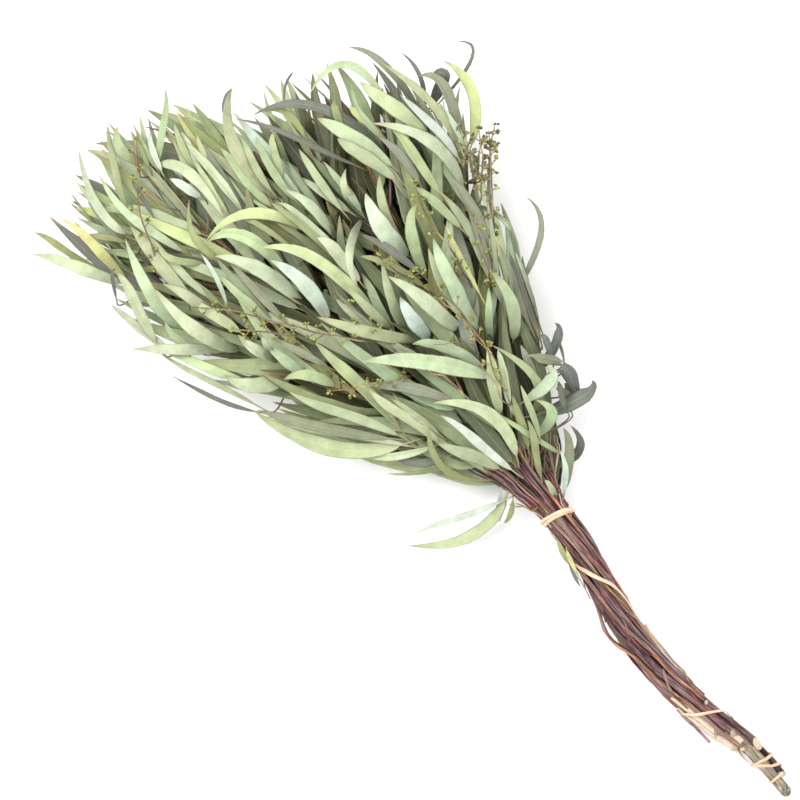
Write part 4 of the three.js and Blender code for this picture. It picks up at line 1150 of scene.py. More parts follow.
for index, (radius, colour, picture, sunk, reach) in enumerate(LAID_TWIGS):
    draw = draws(18, index)
    over = laid_twig(picture, TWIG_EASE + radius, sunk, reach)
    if index < len(NECK_TWIGS):
        first = over[0]
        if first[0] < NEAR_TIE:
            start = first - run_at(first) * FOOT_BACK - [0, 0, FOOT_DOWN]
        else:
            x, y, z = first - [NECK_ROOT["back"], 0, NECK_ROOT["down"]]
            start = nearest_places(x, y, z, places=1)[0]["shown"]
        over = [start, *over]
    line = even_curve(over, LAID_PLACES)
    line[:, 1] += TWIG_WAVER * np.sin(lengths_along(line) / draw(3, 6))
    add_twig(woods[index % len(STEMS)], line, radius, radius * LAID_TAPER, draw, 450 + index, colour)


def leaf_frame(leaf, t):
    """Middle, crosswise and face directions of a leaf at shares t of its length."""
    middle = bezier(leaf["root"], leaf["belly"], leaf["tip"], t)
    run = bezier_run(leaf["root"], leaf["belly"], leaf["tip"], t)
    side = unit(np.cross(run, leaf["facing"]))
    up = np.cross(side, run)
    roll = (leaf["roll"] + leaf["wind"] * (np.asarray(t) - 0.5))[..., None]
    return middle, side * np.cos(roll) + up * np.sin(roll), up * np.cos(roll) - side * np.sin(roll)


def blade_place(t):
    return np.clip((t - STALK_SHARE) / (1 - STALK_SHARE), 0, 1)


def leaf_width(leaf, t):
    u = blade_place(t)
    rising, falling = BLADE_SHAPE
    return np.maximum(STALK_HALF_WIDTH, leaf["half_width"] * BLADE_PEAK * u**rising * (1 - u) ** falling)


def strap_width(leaf, t):
    """The shown half-width: the same blade with straighter edges, made broader where it should be."""
    u = blade_place(t)
    rising, falling = BLADE_SHAPE
    blade = (BLADE_PEAK * u**rising * (1 - u) ** falling) ** STRAP
    broader = leaf.get("broader", GROWN_BROADER)
    return np.maximum(STALK_HALF_WIDTH * (1 - 0.6 * u), leaf["half_width"] * broader * blade)


def frame_edge(leaf, t):
    """The two edge corners that the frame's leaf has at t, lifted off the table as it is there."""
    middle, across, normal = (part[0] for part in leaf_frame(leaf, np.array([t])))
    aside = across * leaf_width(leaf, t)
    ring = np.array([middle - aside, middle + aside, middle - normal * LEAF_KEEL])
    ring[:, 2] -= min(0.0, ring[:, 2].min())
    return ring[:2]


def seen_leaf(seen, index, place, lift, own_root=False):
    """A leaf of the picture that lies at this lift from the crown's surface, rooted at a place.

    With own_root its stalk starts just behind where the picture has it, under the surface.
    """
    draw = draws(2, index)
    tip_at, half_at, root_at, wide, tone = seen
    tip_x, tip_y = from_picture(tip_at)
    half_x, half_y = from_picture(half_at)
    tip = np.array([tip_x, tip_y, max(LOWEST_TIP, crown_top(tip_x, tip_y) - TIP_SINKS + lift)])
    half = np.array([half_x, half_y, max(LOWEST_LEAF, crown_top(half_x, half_y) + lift)])
    root, shown = place["point"], place["shown"]
    if own_root:
        root_x, root_y = from_picture(root_at)
        root_x, root_y = root_x + 0.2 * (root_x - half_x), root_y + 0.2 * (root_y - half_y)
        root = np.array([root_x, root_y, max(LOWEST_LEAF, crown_top(root_x, root_y) - STALK_DEPTH + lift)])
        shown = root
    return {
        "root": root, "belly": half * 2 - (root + tip) / 2, "tip": tip,
        "facing": unit(np.array([draw(-0.25, 0.25), draw(-0.35, 0.35), 1.0])),
        "roll": draw(-TURN_LIMIT, TURN_LIMIT), "wind": draw(-TURN_LIMIT, TURN_LIMIT),
        "half_width": wide * LEAF_FROM_PICTURE["millimetres"] / 2, "broader": BROADER.get(tip_at, 1.0),
        "owner": place["owner"], "shown": shown, "tone": tone, "from": place,
    }


def grown_leaf(place, *keys, longer=1.0):
    """A leaf drawn at random that grows forward and outwards from a place."""
    draw = draws(*keys)
    root = place["point"]
    run = run_at(root)
    around = 2 * math.pi * draw()
    sideways = np.array([0, math.cos(around), 0.7 * math.sin(around)])
    sideways = unit(sideways - run * np.dot(sideways, run))
    slant = draw(*LEAF_SLANT)
    length = draw(*LEAF_LENGTH) * longer
    aim = run * math.cos(slant) + sideways * math.sin(slant)
    tip = root + aim * length
    y, z, wide, thick = crown_at(root[0] + 0.6 * length)
    out_y, out_z = (root[1] - y) / wide, (root[2] - z) / thick
    facing = unit(np.array([0, out_y, out_z + 0.25 * np.sign(out_z + 0.001)]))
    facing = unit(facing - aim * np.dot(facing, aim))
    side = np.cross(aim, facing)
    sickle = draw(*SICKLE) * (-1 if draw() < 0.5 else 1)
    belly = (root + tip) / 2 + side * sickle * length + facing * draw(*ARCH) * length
    return {
        "root": root, "belly": belly, "tip": tip, "facing": facing,
        "roll": draw(*GROWN_ROLL), "wind": draw(*GROWN_WIND), "half_width": draw(*LEAF_HALF_WIDTH),
        "owner": place["owner"], "shown": place["shown"], "tone": None,
    }


SHORT_LEAF = (545, 480)  # the small leaf that lies on the stems beside the tie
SHORT_LEAF_DOWN = -7
TWIGLET_RADII = (0.7, 0.5)
TWIGLET_KNEE = 0.28
CORNERS_AT = 0.4  # the frame's leaves have corners on both edges at this share of their length
PLACES_PER_LEAF = 4  # the frame's stems and twigs may carry a leaf at every fourth place
LEAF_TURNS = 10
LEAF_OUTNESS = (0.5, 0.94)
LEAF_LOWEST = -10
leaves, laid_later = [], []


def add_twiglet(leaf, seed):
    """A short thin twig from the branch to the stalk, which it meets end to end."""
    foot, top = leaf["from"]["shown"], leaf["root"]
    arriving = bezier_run(leaf["root"], leaf["belly"], leaf["tip"], 0.0)
    knee = top - arriving * TWIGLET_KNEE * np.linalg.norm(top - foot)
    reach = bezier(foot, knee, top, np.linspace(0, 1, 14))
    add_twig(woods[leaf["owner"]], reach, *TWIGLET_RADII, draws(15, seed), 300 + seed, TWIGLET)


def is_fourth(place):
    return place["step"] % PLACES_PER_LEAF == (place["owner"] + place["twig"] + 1) % PLACES_PER_LEAF


for index, seen in enumerate(SEEN_LEAVES):
    root_x, root_y = from_picture(seen[2])
    if seen[0] == SHORT_LEAF:
        beside = nearest_places(root_x, root_y, axis_z(root_x))[0]
        leaves.append(seen_leaf(seen, index, beside, SHORT_LEAF_DOWN, own_root=True))
        continue
    tries = [
        seen_leaf(seen, index, place, lift)
        for place in nearest_places(root_x, root_y, crown_top(root_x, root_y) - STALK_DEPTH)
        for lift in SEEN_HEIGHTS
    ]
    held = [leaf for leaf in tries if stem_has(leaf["owner"], *frame_edge(leaf, CORNERS_AT))][:1]
    leaves.extend(held)
    if not held:
        laid_later.append(seen)

for place in filter(is_fourth, skeleton):
    for turn in range(LEAF_TURNS):
        leaf = grown_leaf(place, 3, place["owner"], place["twig"] + 1, place["step"], turn)
        if LEAF_OUTNESS[0] <= outness(leaf["tip"]) <= LEAF_OUTNESS[1] and leaf["tip"][2] >= LEAF_LOWEST:
            tip = leaf["tip"] * [1, 1, 0] + [0, 0, max(0.0, leaf["tip"][2])]
            if stem_has(leaf["owner"], tip):
                leaves.append(leaf)
                break

# More leaves grow between those. The ones of the picture are laid where they cut through
# the fewest others, and the ones drawn at random only where they cut through none.
CARD_STEPS = np.array([0.14, 0.35, 0.6, 0.85])
EXTRA_TURNS = 14
EXTRA_LONGER = 1.2
EXTRA_OUTNESS = (0.3, 0.95)
BETWEEN_BACK = 10
BETWEEN_DEPTH = 18
CROWN_END = 706
UNDER_SEEN = 7  # they stay this far below the crown's upper surface


def card(leaf):
    """A leaf as a flat strip, to test whether leaves cut through each other."""
    middle, across, _ = leaf_frame(leaf, CARD_STEPS)
    wide = leaf_width(leaf, CARD_STEPS)[:, None]
    return np.concatenate([middle - across * wide, middle + across * wide, leaf["tip"][None]])


CARD_FACES = [(0, 4, 5), (0, 5, 1), (1, 5, 6), (1, 6, 2), (2, 6, 7), (2, 7, 3), (3, 7, 8)]


class Thicket:
    """The leaves laid so far, as strips with their boxes."""

    def __init__(self):
        self.strips, self.low, self.high = [], [], []

    def crossings(self, points):
        strip = BVHTree.FromPolygons(points.tolist(), CARD_FACES)
        low, high = np.array(self.low), np.array(self.high)
        near = np.nonzero(np.all((low < points.max(0)) & (high > points.min(0)), axis=1))[0]
        return sum(1 for i in near if strip.overlap(self.strips[i]))

    def lay(self, points):
        self.strips.append(BVHTree.FromPolygons(points.tolist(), CARD_FACES))
        self.low.append(points.min(0))
        self.high.append(points.max(0))


thicket = Thicket()
for leaf in leaves:
    thicket.lay(card(leaf))

for index, seen in enumerate(BETWEEN_LEAVES + laid_later):
    root_x, root_y = from_picture(seen[2])
    best = None
    z = crown_top(root_x, root_y) - BETWEEN_DEPTH
    for place in nearest_places(root_x - BETWEEN_BACK, root_y, z, places=3):
        for lift in BETWEEN_HEIGHTS:
            leaf = seen_leaf(seen, 100 + index, place, lift, own_root=True)
            crossed = thicket.crossings(card(leaf))
            if best is None or crossed < best[0]:
                best = crossed, leaf
            if crossed == 0:
                break
        if best[0] == 0:
            break
    leaf = best[1]
    leaves.append(leaf)
    thicket.lay(card(leaf))
    add_twiglet(leaf, index)

for place in skeleton:
    if is_fourth(place):
        continue
    for turn in range(EXTRA_TURNS):
        keys = (6, place["owner"], place["twig"] + 1, place["step"], turn)
        leaf = grown_leaf(place, *keys, longer=EXTRA_LONGER)
        tip = leaf["tip"]
        half = bezier(leaf["root"], leaf["belly"], tip, 0.6)
        if not EXTRA_OUTNESS[0] <= outness(tip) <= EXTRA_OUTNESS[1] or tip[2] < 1 or tip[0] > CROWN_END:
            continue
        if half[2] > crown_top(half[0], half[1]) - UNDER_SEEN:
            continue
        strip = card(leaf)
        if thicket.crossings(strip) == 0:
            thicket.lay(strip)
            leaves.append(leaf)
            break

# Leaves grow low on the stems at the right of the neck and lie under the grey ones. Their colour is
# darkened with painted shade.
FLANK_LEAVES = 26
FLANK_ROOT = (276, 302)
FLANK_LONG = (34, 66)
FLANK_SLANT = (0.2, 0.95)
FLANK_TURNS = 30
FLANK_HALF_WIDTH = (3.2, 5.2)
# Painted shade: the share of their tone that these leaves keep.
FLANK_SHADE = (0.16, 0.4)
FLANK_ROLL = (-0.5, 0.5)
FLANK_SICKLE = (-0.12, 0.12)
FLANK_INSIDE = 3  # they end this far inside the crown's right edge
FLANK_LOWEST = 4
FLANK_TONES = ("dusk", "grey", "olive")
for index in range(FLANK_LEAVES):
    for turn in range(FLANK_TURNS):
        draw = draws(19, index, turn)
        owner = int(draw(0, len(STEMS) - 0.001))
        x = draw(*FLANK_ROOT)
        root = stem_point(STEMS[owner], x)
        if root[1] > axis_y(x) or root[2] > axis_z(x) + 2:
            continue
        slant, long = draw(*FLANK_SLANT), draw(*FLANK_LONG)
        aim = unit(np.array([math.cos(slant), -math.sin(slant), draw(-0.3, 0.04)]))
        tip = root + aim * long
        if tip[1] < np.interp(tip[0], *zip(*RIGHT_EDGE)) + FLANK_INSIDE or tip[2] < FLANK_LOWEST:
            continue
        facing = unit(np.array([draw(-0.2, 0.2), -0.3, 1.0]))
        belly = (root + tip) / 2 + np.cross(aim, facing) * draw(*FLANK_SICKLE) * long
        # Their "old" value is their painted shade.
        leaf = {
            "root": root, "belly": belly, "tip": tip, "facing": facing,
            "roll": draw(*FLANK_ROLL), "wind": draw(*GROWN_WIND), "half_width": draw(*FLANK_HALF_WIDTH),
            "owner": owner, "shown": root, "tone": FLANK_TONES[index % len(FLANK_TONES)],
            "old": draw(*FLANK_SHADE),
        }
        strip = card(leaf)
        if thicket.crossings(strip) == 0:
            thicket.lay(strip)
            leaves.append(leaf)
            break

# The share of the leaves up to and including each tone.
TONE_SHARES = [
    ("sage", 0.34), ("light sage", 0.76), ("dusk", 0.82), ("olive", 0.92),
    ("silver", 0.96), ("yellow", 0.98), ("grey", 1.0),
]


def blade_rows(leaf, middle, across, normal, length, draw):
    """The leaf's cross-sections: folded at the midrib, curled and waved, with the rib below."""
    t = LEAF_ROWS
    blade = np.clip((t - SHOWN_STALK["blade_from"]) / SHOWN_STALK["blade_over"], 0, 1)
    width = strap_width(leaf, t) * (1 + 0.05 * np.sin(t * draw(14, 26) + draw(0, 6)))
    width = np.where(t < SHOWN_STALK["end"], SHOWN_STALK["half_width"], width)
    fold, curl = draw(*FOLD), draw(*CURL)
    waves, phase = draw(*WAVES), draw(0, 6)
    amount = draw(*WAVE_SIZE) * leaf["half_width"] / 6 * min(1.0, length / 60)
    thick = mix(STALK_THICK, BLADE_THICK, blade)
    rows = []
    for s, face in [*((s, 1) for s in ACROSS_TOP), *((s, -1) for s in ACROSS_UNDER)]:
        waved = amount * np.sin(waves * t + phase + np.sign(s) * 1.3) * abs(s) ** 1.6 * np.sin(np.pi * t)
        height = (fold * abs(s) * width + curl * s * s * width**2 + waved) * blade
        bulge = face * thick / 2 * math.sqrt(1 - s * s)
        rib = (MIDRIB_GROOVE * blade if face > 0 else MIDRIB * blade * (1 - t)) * (abs(s) < 0.05)
        aside = across * (s * width * np.cos(fold * blade))[:, None]
        rows.append(middle + aside + normal * (height + bulge - rib)[:, None])
    rows = np.stack(rows, axis=1)
    rows[:, :, 2] -= np.minimum(ABOVE_TABLE, rows[:, :, 2].min(axis=1))[:, None] - ABOVE_TABLE
    return rows


def leaf_tint(leaf, halfway, draw):
    """The leaf's own tone or a drawn one, darkened with painted shade the deeper it lies in the bunch."""
    name = leaf["tone"]
    if name is None:
        pick = draw()
        name = next(label for label, share in TONE_SHARES if pick <= share)
    at_front = 0.8 * smooth((leaf["tip"][0] - FRONT_X) / FRONT_DEEP)
    outside = max(outness(halfway), at_front)
    # Painted shade; a leaf's own "old" value, where it has one, takes its place.
    shaded = leaf.get("old", mix(DEEP_LEAF_SHADE, UNSHADED_LEAF, smooth((outside - FULL_SHADE_BELOW) / SHADE_FADES_OVER)))
    varied = [draw(0.93, 1.05), draw(0.94, 1.06), draw(0.9, 1.12), 1]
    return np.array(TONES[name]) * varied * np.append(np.broadcast_to(shaded, 3), 1)


def add_leaf(skin, leaf, seed):
    draw = draws(5, seed)
    t = LEAF_ROWS
    middle, across, normal = leaf_frame(leaf, t)
    length = np.linalg.norm(leaf["tip"] - leaf["root"])
    middle = middle + (leaf["shown"] - leaf["root"]) * np.exp(-t / STALK_SETTLES)[:, None]
    bend = np.sin(2 * np.pi * t)[:, None] * min(1.0, length / 80)
    middle = middle + across * bend * draw(*SWERVE) + normal * bend * draw(*SAG)
    rows = blade_rows(leaf, middle, across, normal, length, draw)
    end = rows[-1].mean(axis=0)
    end[2] = max(TIP_ABOVE_TABLE, end[2])
    tip = end + (leaf["tip"] - middle[-1]) * [1, 1, 0.3]
    tip[2] = max(tip[2], TIP_ABOVE_TABLE)
    points = np.concatenate([rows.reshape(-1, 3), leaf["shown"][None], tip[None]])
    sides = rows.shape[1]
    grain = np.zeros((len(points), 3))
    grain[:-2, 0] = np.repeat(t, sides)
    grain[:-2, 1] = np.tile(np.concatenate([ACROSS_TOP, ACROSS_UNDER]), len(t))
    grain[-1, 0] = 1
    grain[:, 2] = seed
    tint = leaf_tint(leaf, middle[MIDDLE_ROW], draw)
    wear = [draw(), draw(), length / 120, draw()]
    skin.add(points, [rows_of_faces(len(t), sides), fans(len(t), sides)], grain, tint, wear)


leaf_skins = [Skin() for _ in STEMS]
for seed, leaf in enumerate(leaves):
    add_leaf(leaf_skins[leaf["owner"]], leaf, seed)

VEIN, RIB, RIM = linear(190, 198, 156), linear(200, 200, 150), linear(160, 148, 100)
SPOT, DRY_TIP, STALK = linear(110, 88, 58), linear(150, 122, 78), linear(150, 132, 84)
leaf_blade, tree, shader = surface("leaf_blade", 0.62, 0.25)
along, across, _ = parts_of(tree, "XYZ", value_of(tree, "grain", "Vector"))
browned = parts_of(tree, "Color", value_of(tree, "wear", "Color"))[0]
side = maths(tree, "ABSOLUTE", across)
place = tree.nodes.new("ShaderNodeTexCoord").outputs["Object"]
mottle = wire(tree, "TexNoise", {"Vector": place, "Scale": 90.0, "Detail": 5.0, "Roughness": 0.6})
fine = wire(tree, "TexNoise", {"Vector": place, "Scale": 900.0, "Detail": 3.0})
slanted = maths(tree, "ADD", maths(tree, "MULTIPLY", along, 46.0), maths(tree, "MULTIPLY", side, -5.5))
wavering = maths(tree, "ADD", slanted, maths(tree, "MULTIPLY", mottle, 2.0))
veins = ramp(tree, maths(tree, "PINGPONG", wavering, 0.5), (0.0, 1.0), (0.16, 0.0))
rib = ramp(tree, side, (0.0, 1.0), (0.09, 0.0))
rim = ramp(tree, side, (0.86, 0.0), (0.97, 1.0))
own = value_of(tree, "tint", "Color")
mottled = blend_colours(tree, 1.0, own, ramp(tree, mottle, (0.3, 0.8), (0.7, 1.16)), "MULTIPLY")
veined = blend_colours(tree, maths(tree, "MULTIPLY", veins, 0.1), mottled, VEIN)
ribbed = blend_colours(tree, maths(tree, "MULTIPLY", rib, 0.22), veined, RIB)
rimmed = blend_colours(tree, maths(tree, "MULTIPLY", rim, 0.2), ribbed, RIM)
spots = wire(tree, "TexVoronoi", {"Vector": place, "Scale": 210.0, "Randomness": 1.0})
spots = ramp(tree, spots, (0.09, 1.0), (0.2, 0.0))
spotted = blend_colours(
    tree, maths(tree, "MULTIPLY", spots, maths(tree, "MULTIPLY", browned, 0.28)), rimmed, SPOT)
end = maths(tree, "ADD", along, maths(tree, "MULTIPLY", mottle, 0.12))
end = ramp(tree, end, (0.93, 0.0), (1.03, 1.0))
tipped = blend_colours(
    tree, maths(tree, "MULTIPLY", end, maths(tree, "MULTIPLY", browned, 0.55)), spotted, DRY_TIP)
stalk = ramp(tree, along, (0.09, 1.0), (0.16, 0.0))
stalked = blend_colours(tree, maths(tree, "MULTIPLY", stalk, 0.55), tipped, STALK)
tree.links.new(stalked, shader.inputs["Base Color"])
tree.links.new(ramp(tree, mottle, (0.3, 0.5), (0.7, 0.68)), shader.inputs["Roughness"])
height = maths(tree, "ADD", maths(tree, "MULTIPLY", fine, 0.35), maths(tree, "MULTIPLY", rib, 0.8))
height = maths(tree, "ADD", maths(tree, "MULTIPLY", veins, 0.5), height)
relief = wire(tree, "Bump", {"Strength": 0.5, "Distance": 0.00025, "Height": height})
tree.links.new(relief, shader.inputs["Normal"])

# ---------------------------------------------------------- the flower twigs
# Thin golden twigs lie over the leaves and carry small clusters of dry buds on
# short stalks. Each bud is a ribbed egg with a pointed cap, yellow to green.
SEEN_TWIGS = [
    [(400, 357), (350, 340), (285, 325), (228, 311), (202, 309)],
    [(320, 345), (275, 334), (243, 331)],
    [(425, 370), (385, 383), (340, 390)],
    [(500, 400), (497, 380), (482, 343), (455, 308), (420, 275)],
    [(480, 302), (455, 260), (425, 215), (415, 190)],
    [(490, 290), (487, 270), (475, 225)],
    [(420, 288), (400, 275), (383, 262)],
    [(395, 353), (370, 325), (345, 305)],
    [(487, 250), (491, 215), (490, 180), (489, 142)],
    [(175, 300), (155, 250), (142, 205), (140, 150)],
]
DENSE_TWIGS = [
    [
        (481, 210), (481, 200), (481, 190), (481, 183), (481, 175), (481, 167), (482, 158), (480, 148),
        (479, 139),
    ],
    [(481, 184), (477, 175), (473, 168), (469, 160), (466, 152), (463, 144), (460, 136)],
    [(490, 182), (490, 172), (490, 160), (490, 150), (491, 142), (493, 133)],
]
SEEN_TWIG_HEIGHTS = (3, 6, 9, 13, 17, 0, -5, 22)
GOLDEN = linear(150, 132, 80)
BUD_TINTS = [linear(136, 144, 74), linear(112, 122, 66), linear(158, 158, 88), linear(88, 92, 52)]
OLD_BUD_TINTS = [linear(120, 112, 78), linear(98, 92, 60), linear(142, 134, 96), linear(84, 74, 60)]
TWIG_DEPTH = 10  # their feet lie this far below the crown's upper surface
SEEN_TWIG_PLACES = 60
SEEN_TWIG_RADII = (0.85, 0.5)
CLUSTER_STALK = (2.5, 6)
CLUSTER_STALK_RADII = (0.42, 0.36)
CLUSTER_BUDS = (4, 11)
CLUSTERS_APART = (2.5, 13)
DENSE_APART = (2.5, 6)
FLOWERS_FROM = {"seen": 0.3, "dense": 0.5, "grown": 0.45}  # shares of a twig's length
BUD_LENGTH = (1.7, 3.1)
BUD_SIDES = 8
BUD_ROUND = 0.34  # the widest place of a bud, as a share of its length
BUD_CAP = linear(140, 120, 66)
BUD_PROFILE = np.array([
    [0.0, 0.28], [0.12, 0.62], [0.34, 0.96], [0.55, 1.0], [0.72, 0.86], [0.86, 0.5], [0.96, 0.2],
])


def add_bud(skin, foot, way, long, draw, seed, tints):
    side = unit(np.cross(way, [0.3, 0.2, 1.0]))
    other = np.cross(way, side)
    turn = turns_round(BUD_SIDES)
    ribs = 1 + 0.08 * np.cos(4 * turn)
    ring = (np.cos(turn)[:, None] * side + np.sin(turn)[:, None] * other) * ribs[:, None]
    along, wide = BUD_PROFILE.T * long
    rows = foot + way * along[:, None, None] + ring * (wide * BUD_ROUND)[:, None, None]
    points = np.concatenate([rows.reshape(-1, 3), foot[None], (foot + way * long)[None]])
    grain = np.zeros((len(points), 3))
    grain[:-2, 0] = np.repeat(BUD_PROFILE[:, 0], BUD_SIDES)
    grain[-1, 0] = 1
    grain[:, 2] = seed
    faces = [rows_of_faces(len(BUD_PROFILE), BUD_SIDES), fans(len(BUD_PROFILE), BUD_SIDES)]
    tint = np.array(tints[int(draw(0, len(tints) - 0.001))]) * draw(0.8, 1.15)
    skin.add(points, faces, grain, tint, [draw(), 0, 0, 0])


def add_cluster(owner, foot, way, draw, seed, tints):
    """A short stalk with four to ten buds spread like a small fan at its end."""
    top = foot + way * draw(*CLUSTER_STALK)
    stalk = mix(foot, top, np.linspace(0, 1, 5)[:, None])
    add_twig(woods[owner], stalk, *CLUSTER_STALK_RADII, draw, seed, GOLDEN)
    for _ in range(int(draw(*CLUSTER_BUDS))):
        lean = unit(way + np.array([draw(-1.2, 1.2), draw(-1.2, 1.2), draw(-0.5, 0.9)]))
        start = top + lean * draw(0.2, 1.6)
        add_bud(buds[owner], start, lean, draw(*BUD_LENGTH), draw, seed + draw(), tints)


def add_flowers(owner, line, draw, seed, from_share, apart=CLUSTERS_APART, tints=BUD_TINTS):
    """Bud clusters to one side and the other all along a twig."""
    length = lengths_along(line)
    run = unit(np.gradient(line, axis=0))
    at, hand = length[-1] * from_share, 1
    while at < length[-1]:
        i = int(np.searchsorted(length, at))
        side = unit(np.cross(run[i], [0.0, 0.0, 1.0])) * hand
        way = unit(run[i] * 0.7 + side * draw(0.5, 1.1) + np.array([0, 0, draw(0.1, 0.5)]))
        add_cluster(owner, line[i], way, draw, seed + i, tints)
        at += draw(*apart)
        hand = -hand
    add_cluster(owner, line[-1], run[-1], draw, seed + 90, tints)


buds = [Skin() for _ in STEMS]
for index, picture in enumerate(SEEN_TWIGS + DENSE_TWIGS):
    draw = draws(16, index)
    flat = [from_picture(at) for at in picture]
    tries = []
    for place in nearest_places(*flat[0], crown_top(*flat[0]) - TWIG_DEPTH):
        for lift in SEEN_TWIG_HEIGHTS:
            over = [np.array([x, y, crown_top(x, y) + lift]) for x, y in flat[1:]]
            tries.append((place, over))
    kept = [(place, over) for place, over in tries if stem_has(place["owner"], over[-1])]
    dense = index >= len(SEEN_TWIGS)
    place, over = kept[0] if kept else tries[0 if dense else 1]
    line = even_curve([place["shown"], *over], SEEN_TWIG_PLACES)
    wander = np.sin(np.pi * np.linspace(0, 1, SEEN_TWIG_PLACES))
    line[:, 1] += wander * 0.7 * np.sin(lengths_along(line) / draw(5, 8))
    line[:, 2] += wander * 0.7 * np.sin(lengths_along(line) / draw(5, 8))
    add_twig(woods[place["owner"]], line, *SEEN_TWIG_RADII, draw, 400 + index, GOLDEN)
    if dense:
        looks = (FLOWERS_FROM["dense"], DENSE_APART, OLD_BUD_TINTS)
    else:
        looks = (FLOWERS_FROM["seen"],)
    add_flowers(place["owner"], line, draw, 500 + 100 * index, *looks)
for seed, twig in enumerate(twigs):
    if twig["index"] == FLOWER_TWIG:
        draw = draws(17, seed)
        add_flowers(twig["owner"], twig_line(twig), draw, 2000 + 100 * seed, FLOWERS_FROM["grown"])

# Bare twigs that have lost their buds rise through the leaves and lie on them.
GOLD_TWIG = linear(196, 156, 100)
OLIVE_TWIG = linear(150, 148, 84)
BARE_TWIGS = [
    (0.55, STRAW, [
        (487, 351), (481, 345), (476, 340), (472, 334), (467, 328), (462, 321), (456, 315), (451, 310),
        (445, 306), (437, 300), (433, 298),
    ]),
    (0.6, SALMON, [(499, 397), (497, 389), (494, 383), (489, 377), (484, 372), (478, 365)]),
    (0.5, SALMON, [(507, 397), (504, 387), (501, 378), (498, 370), (495, 362), (491, 354)]),
    (0.6, GOLD_TWIG, [
        (463, 395), (457, 388), (453, 384), (447, 380), (443, 376), (438, 375), (432, 374), (426, 370),
    ]),
    (0.4, OLIVE_TWIG, [(471, 345), (463, 344), (453, 343), (443, 345), (433, 345)]),
    (0.6, SALMON, [(164, 207), (159, 202), (155, 199), (151, 196), (146, 193)]),
]
BARE_TWIG_LIFT = 5
BARE_ROOT = {"back": 12, "down": 8}
BARE_TAPER = 0.75
for index, (radius, colour, picture) in enumerate(BARE_TWIGS):
    draw = draws(21, index)
    flat = [from_picture(at) for at in picture]
    over = [np.array([x, y, crown_top(x, y) + BARE_TWIG_LIFT]) for x, y in flat]
    x, y, z = over[0] - [BARE_ROOT["back"], 0, BARE_ROOT["down"]]
    place = nearest_places(x, y, z, places=1)[0]
    line = even_curve([place["shown"], *over], SEEN_TWIG_PLACES)
    add_twig(woods[place["owner"]], line, radius, radius * BARE_TAPER, draw, 480 + index, colour)

dry_bud, tree, shader = surface("dry_bud", 0.7, 0.3)
grain = value_of(tree, "grain", "Vector")
specks = stretched(tree, grain, (3.0, 3.0, 5.0), Detail=3.0)
along = parts_of(tree, "XYZ", grain)[0]
own = value_of(tree, "tint", "Color")
specked = blend_colours(tree, 1.0, own, ramp(tree, specks, (0.35, 0.7), (0.65, 1.2)), "MULTIPLY")
capped = blend_colours(tree, ramp(tree, along, (0.6, 0.0), (0.85, 0.3)), specked, BUD_CAP)
tree.links.new(capped, shader.inputs["Base Color"])

BARK_EDGES = math.radians(50)  # cut wood and bark meet in a sharp edge from this angle on
for owner, node in enumerate(STEM_NODES):
    number = f"{owner + 1:02d}"
    woods[owner].piece("wood_" + number, "leafy_stems", bark, sharp=BARK_EDGES, nodes=[node])
    leaf_skins[owner].piece("leaves_" + number, "leafy_stems", leaf_blade, nodes=[node])
    buds[owner].piece("buds_" + number, "leafy_stems", dry_bud, nodes=[node])

# ---------------------------------------------------------- the tie at the neck
# Two strands of split fibre, wound tight round the bundle and crossing on top.
# Each is a flat ribbon of long pale fibres that catch the light.
TIE_WIDE = 3.0
TIE_THICK = 1.1
TIE_EASE = 0.45
TIE_ARCH = 2.4  # the ring leans towards the crown where it passes over the top
TIE_STRANDS = [{"shift": -1.1, "tilt": 2.6, "lift": 0.0}, {"shift": 1.1, "tilt": 3.4, "lift": 0.5}]
TIE_PLACES = 90
CUT_EASE = 9  # a strand follows a stem from this far before its cut end
RIBBON_SIDES = 16
RIBBON_GRAIN = 300
FIBRE_TAN = linear(212, 188, 162)
FIBRE_STAIN = linear(176, 128, 78)


def bundle_reach(x, turn):
    """How far the bundle reaches from its middle towards one side."""
    reach = 0.0
    for stem in STEMS:
        across = stem["out"] * np.cos(stem_angle(stem, x) - turn)
        there = smooth((x - stem["cut"] + CUT_EASE) / (CUT_EASE - 1))
        reach = max(reach, float((across * spread(FAN_SLOPE, x) + stem_radius(stem, x)) * there))
    return reach


def tie_point(x, turn, thick):
    reach = bundle_reach(x, turn) + TIE_EASE + thick / 2
    return np.array([x, axis_y(x) + reach * math.cos(turn), axis_z(x) + reach * math.sin(turn)])


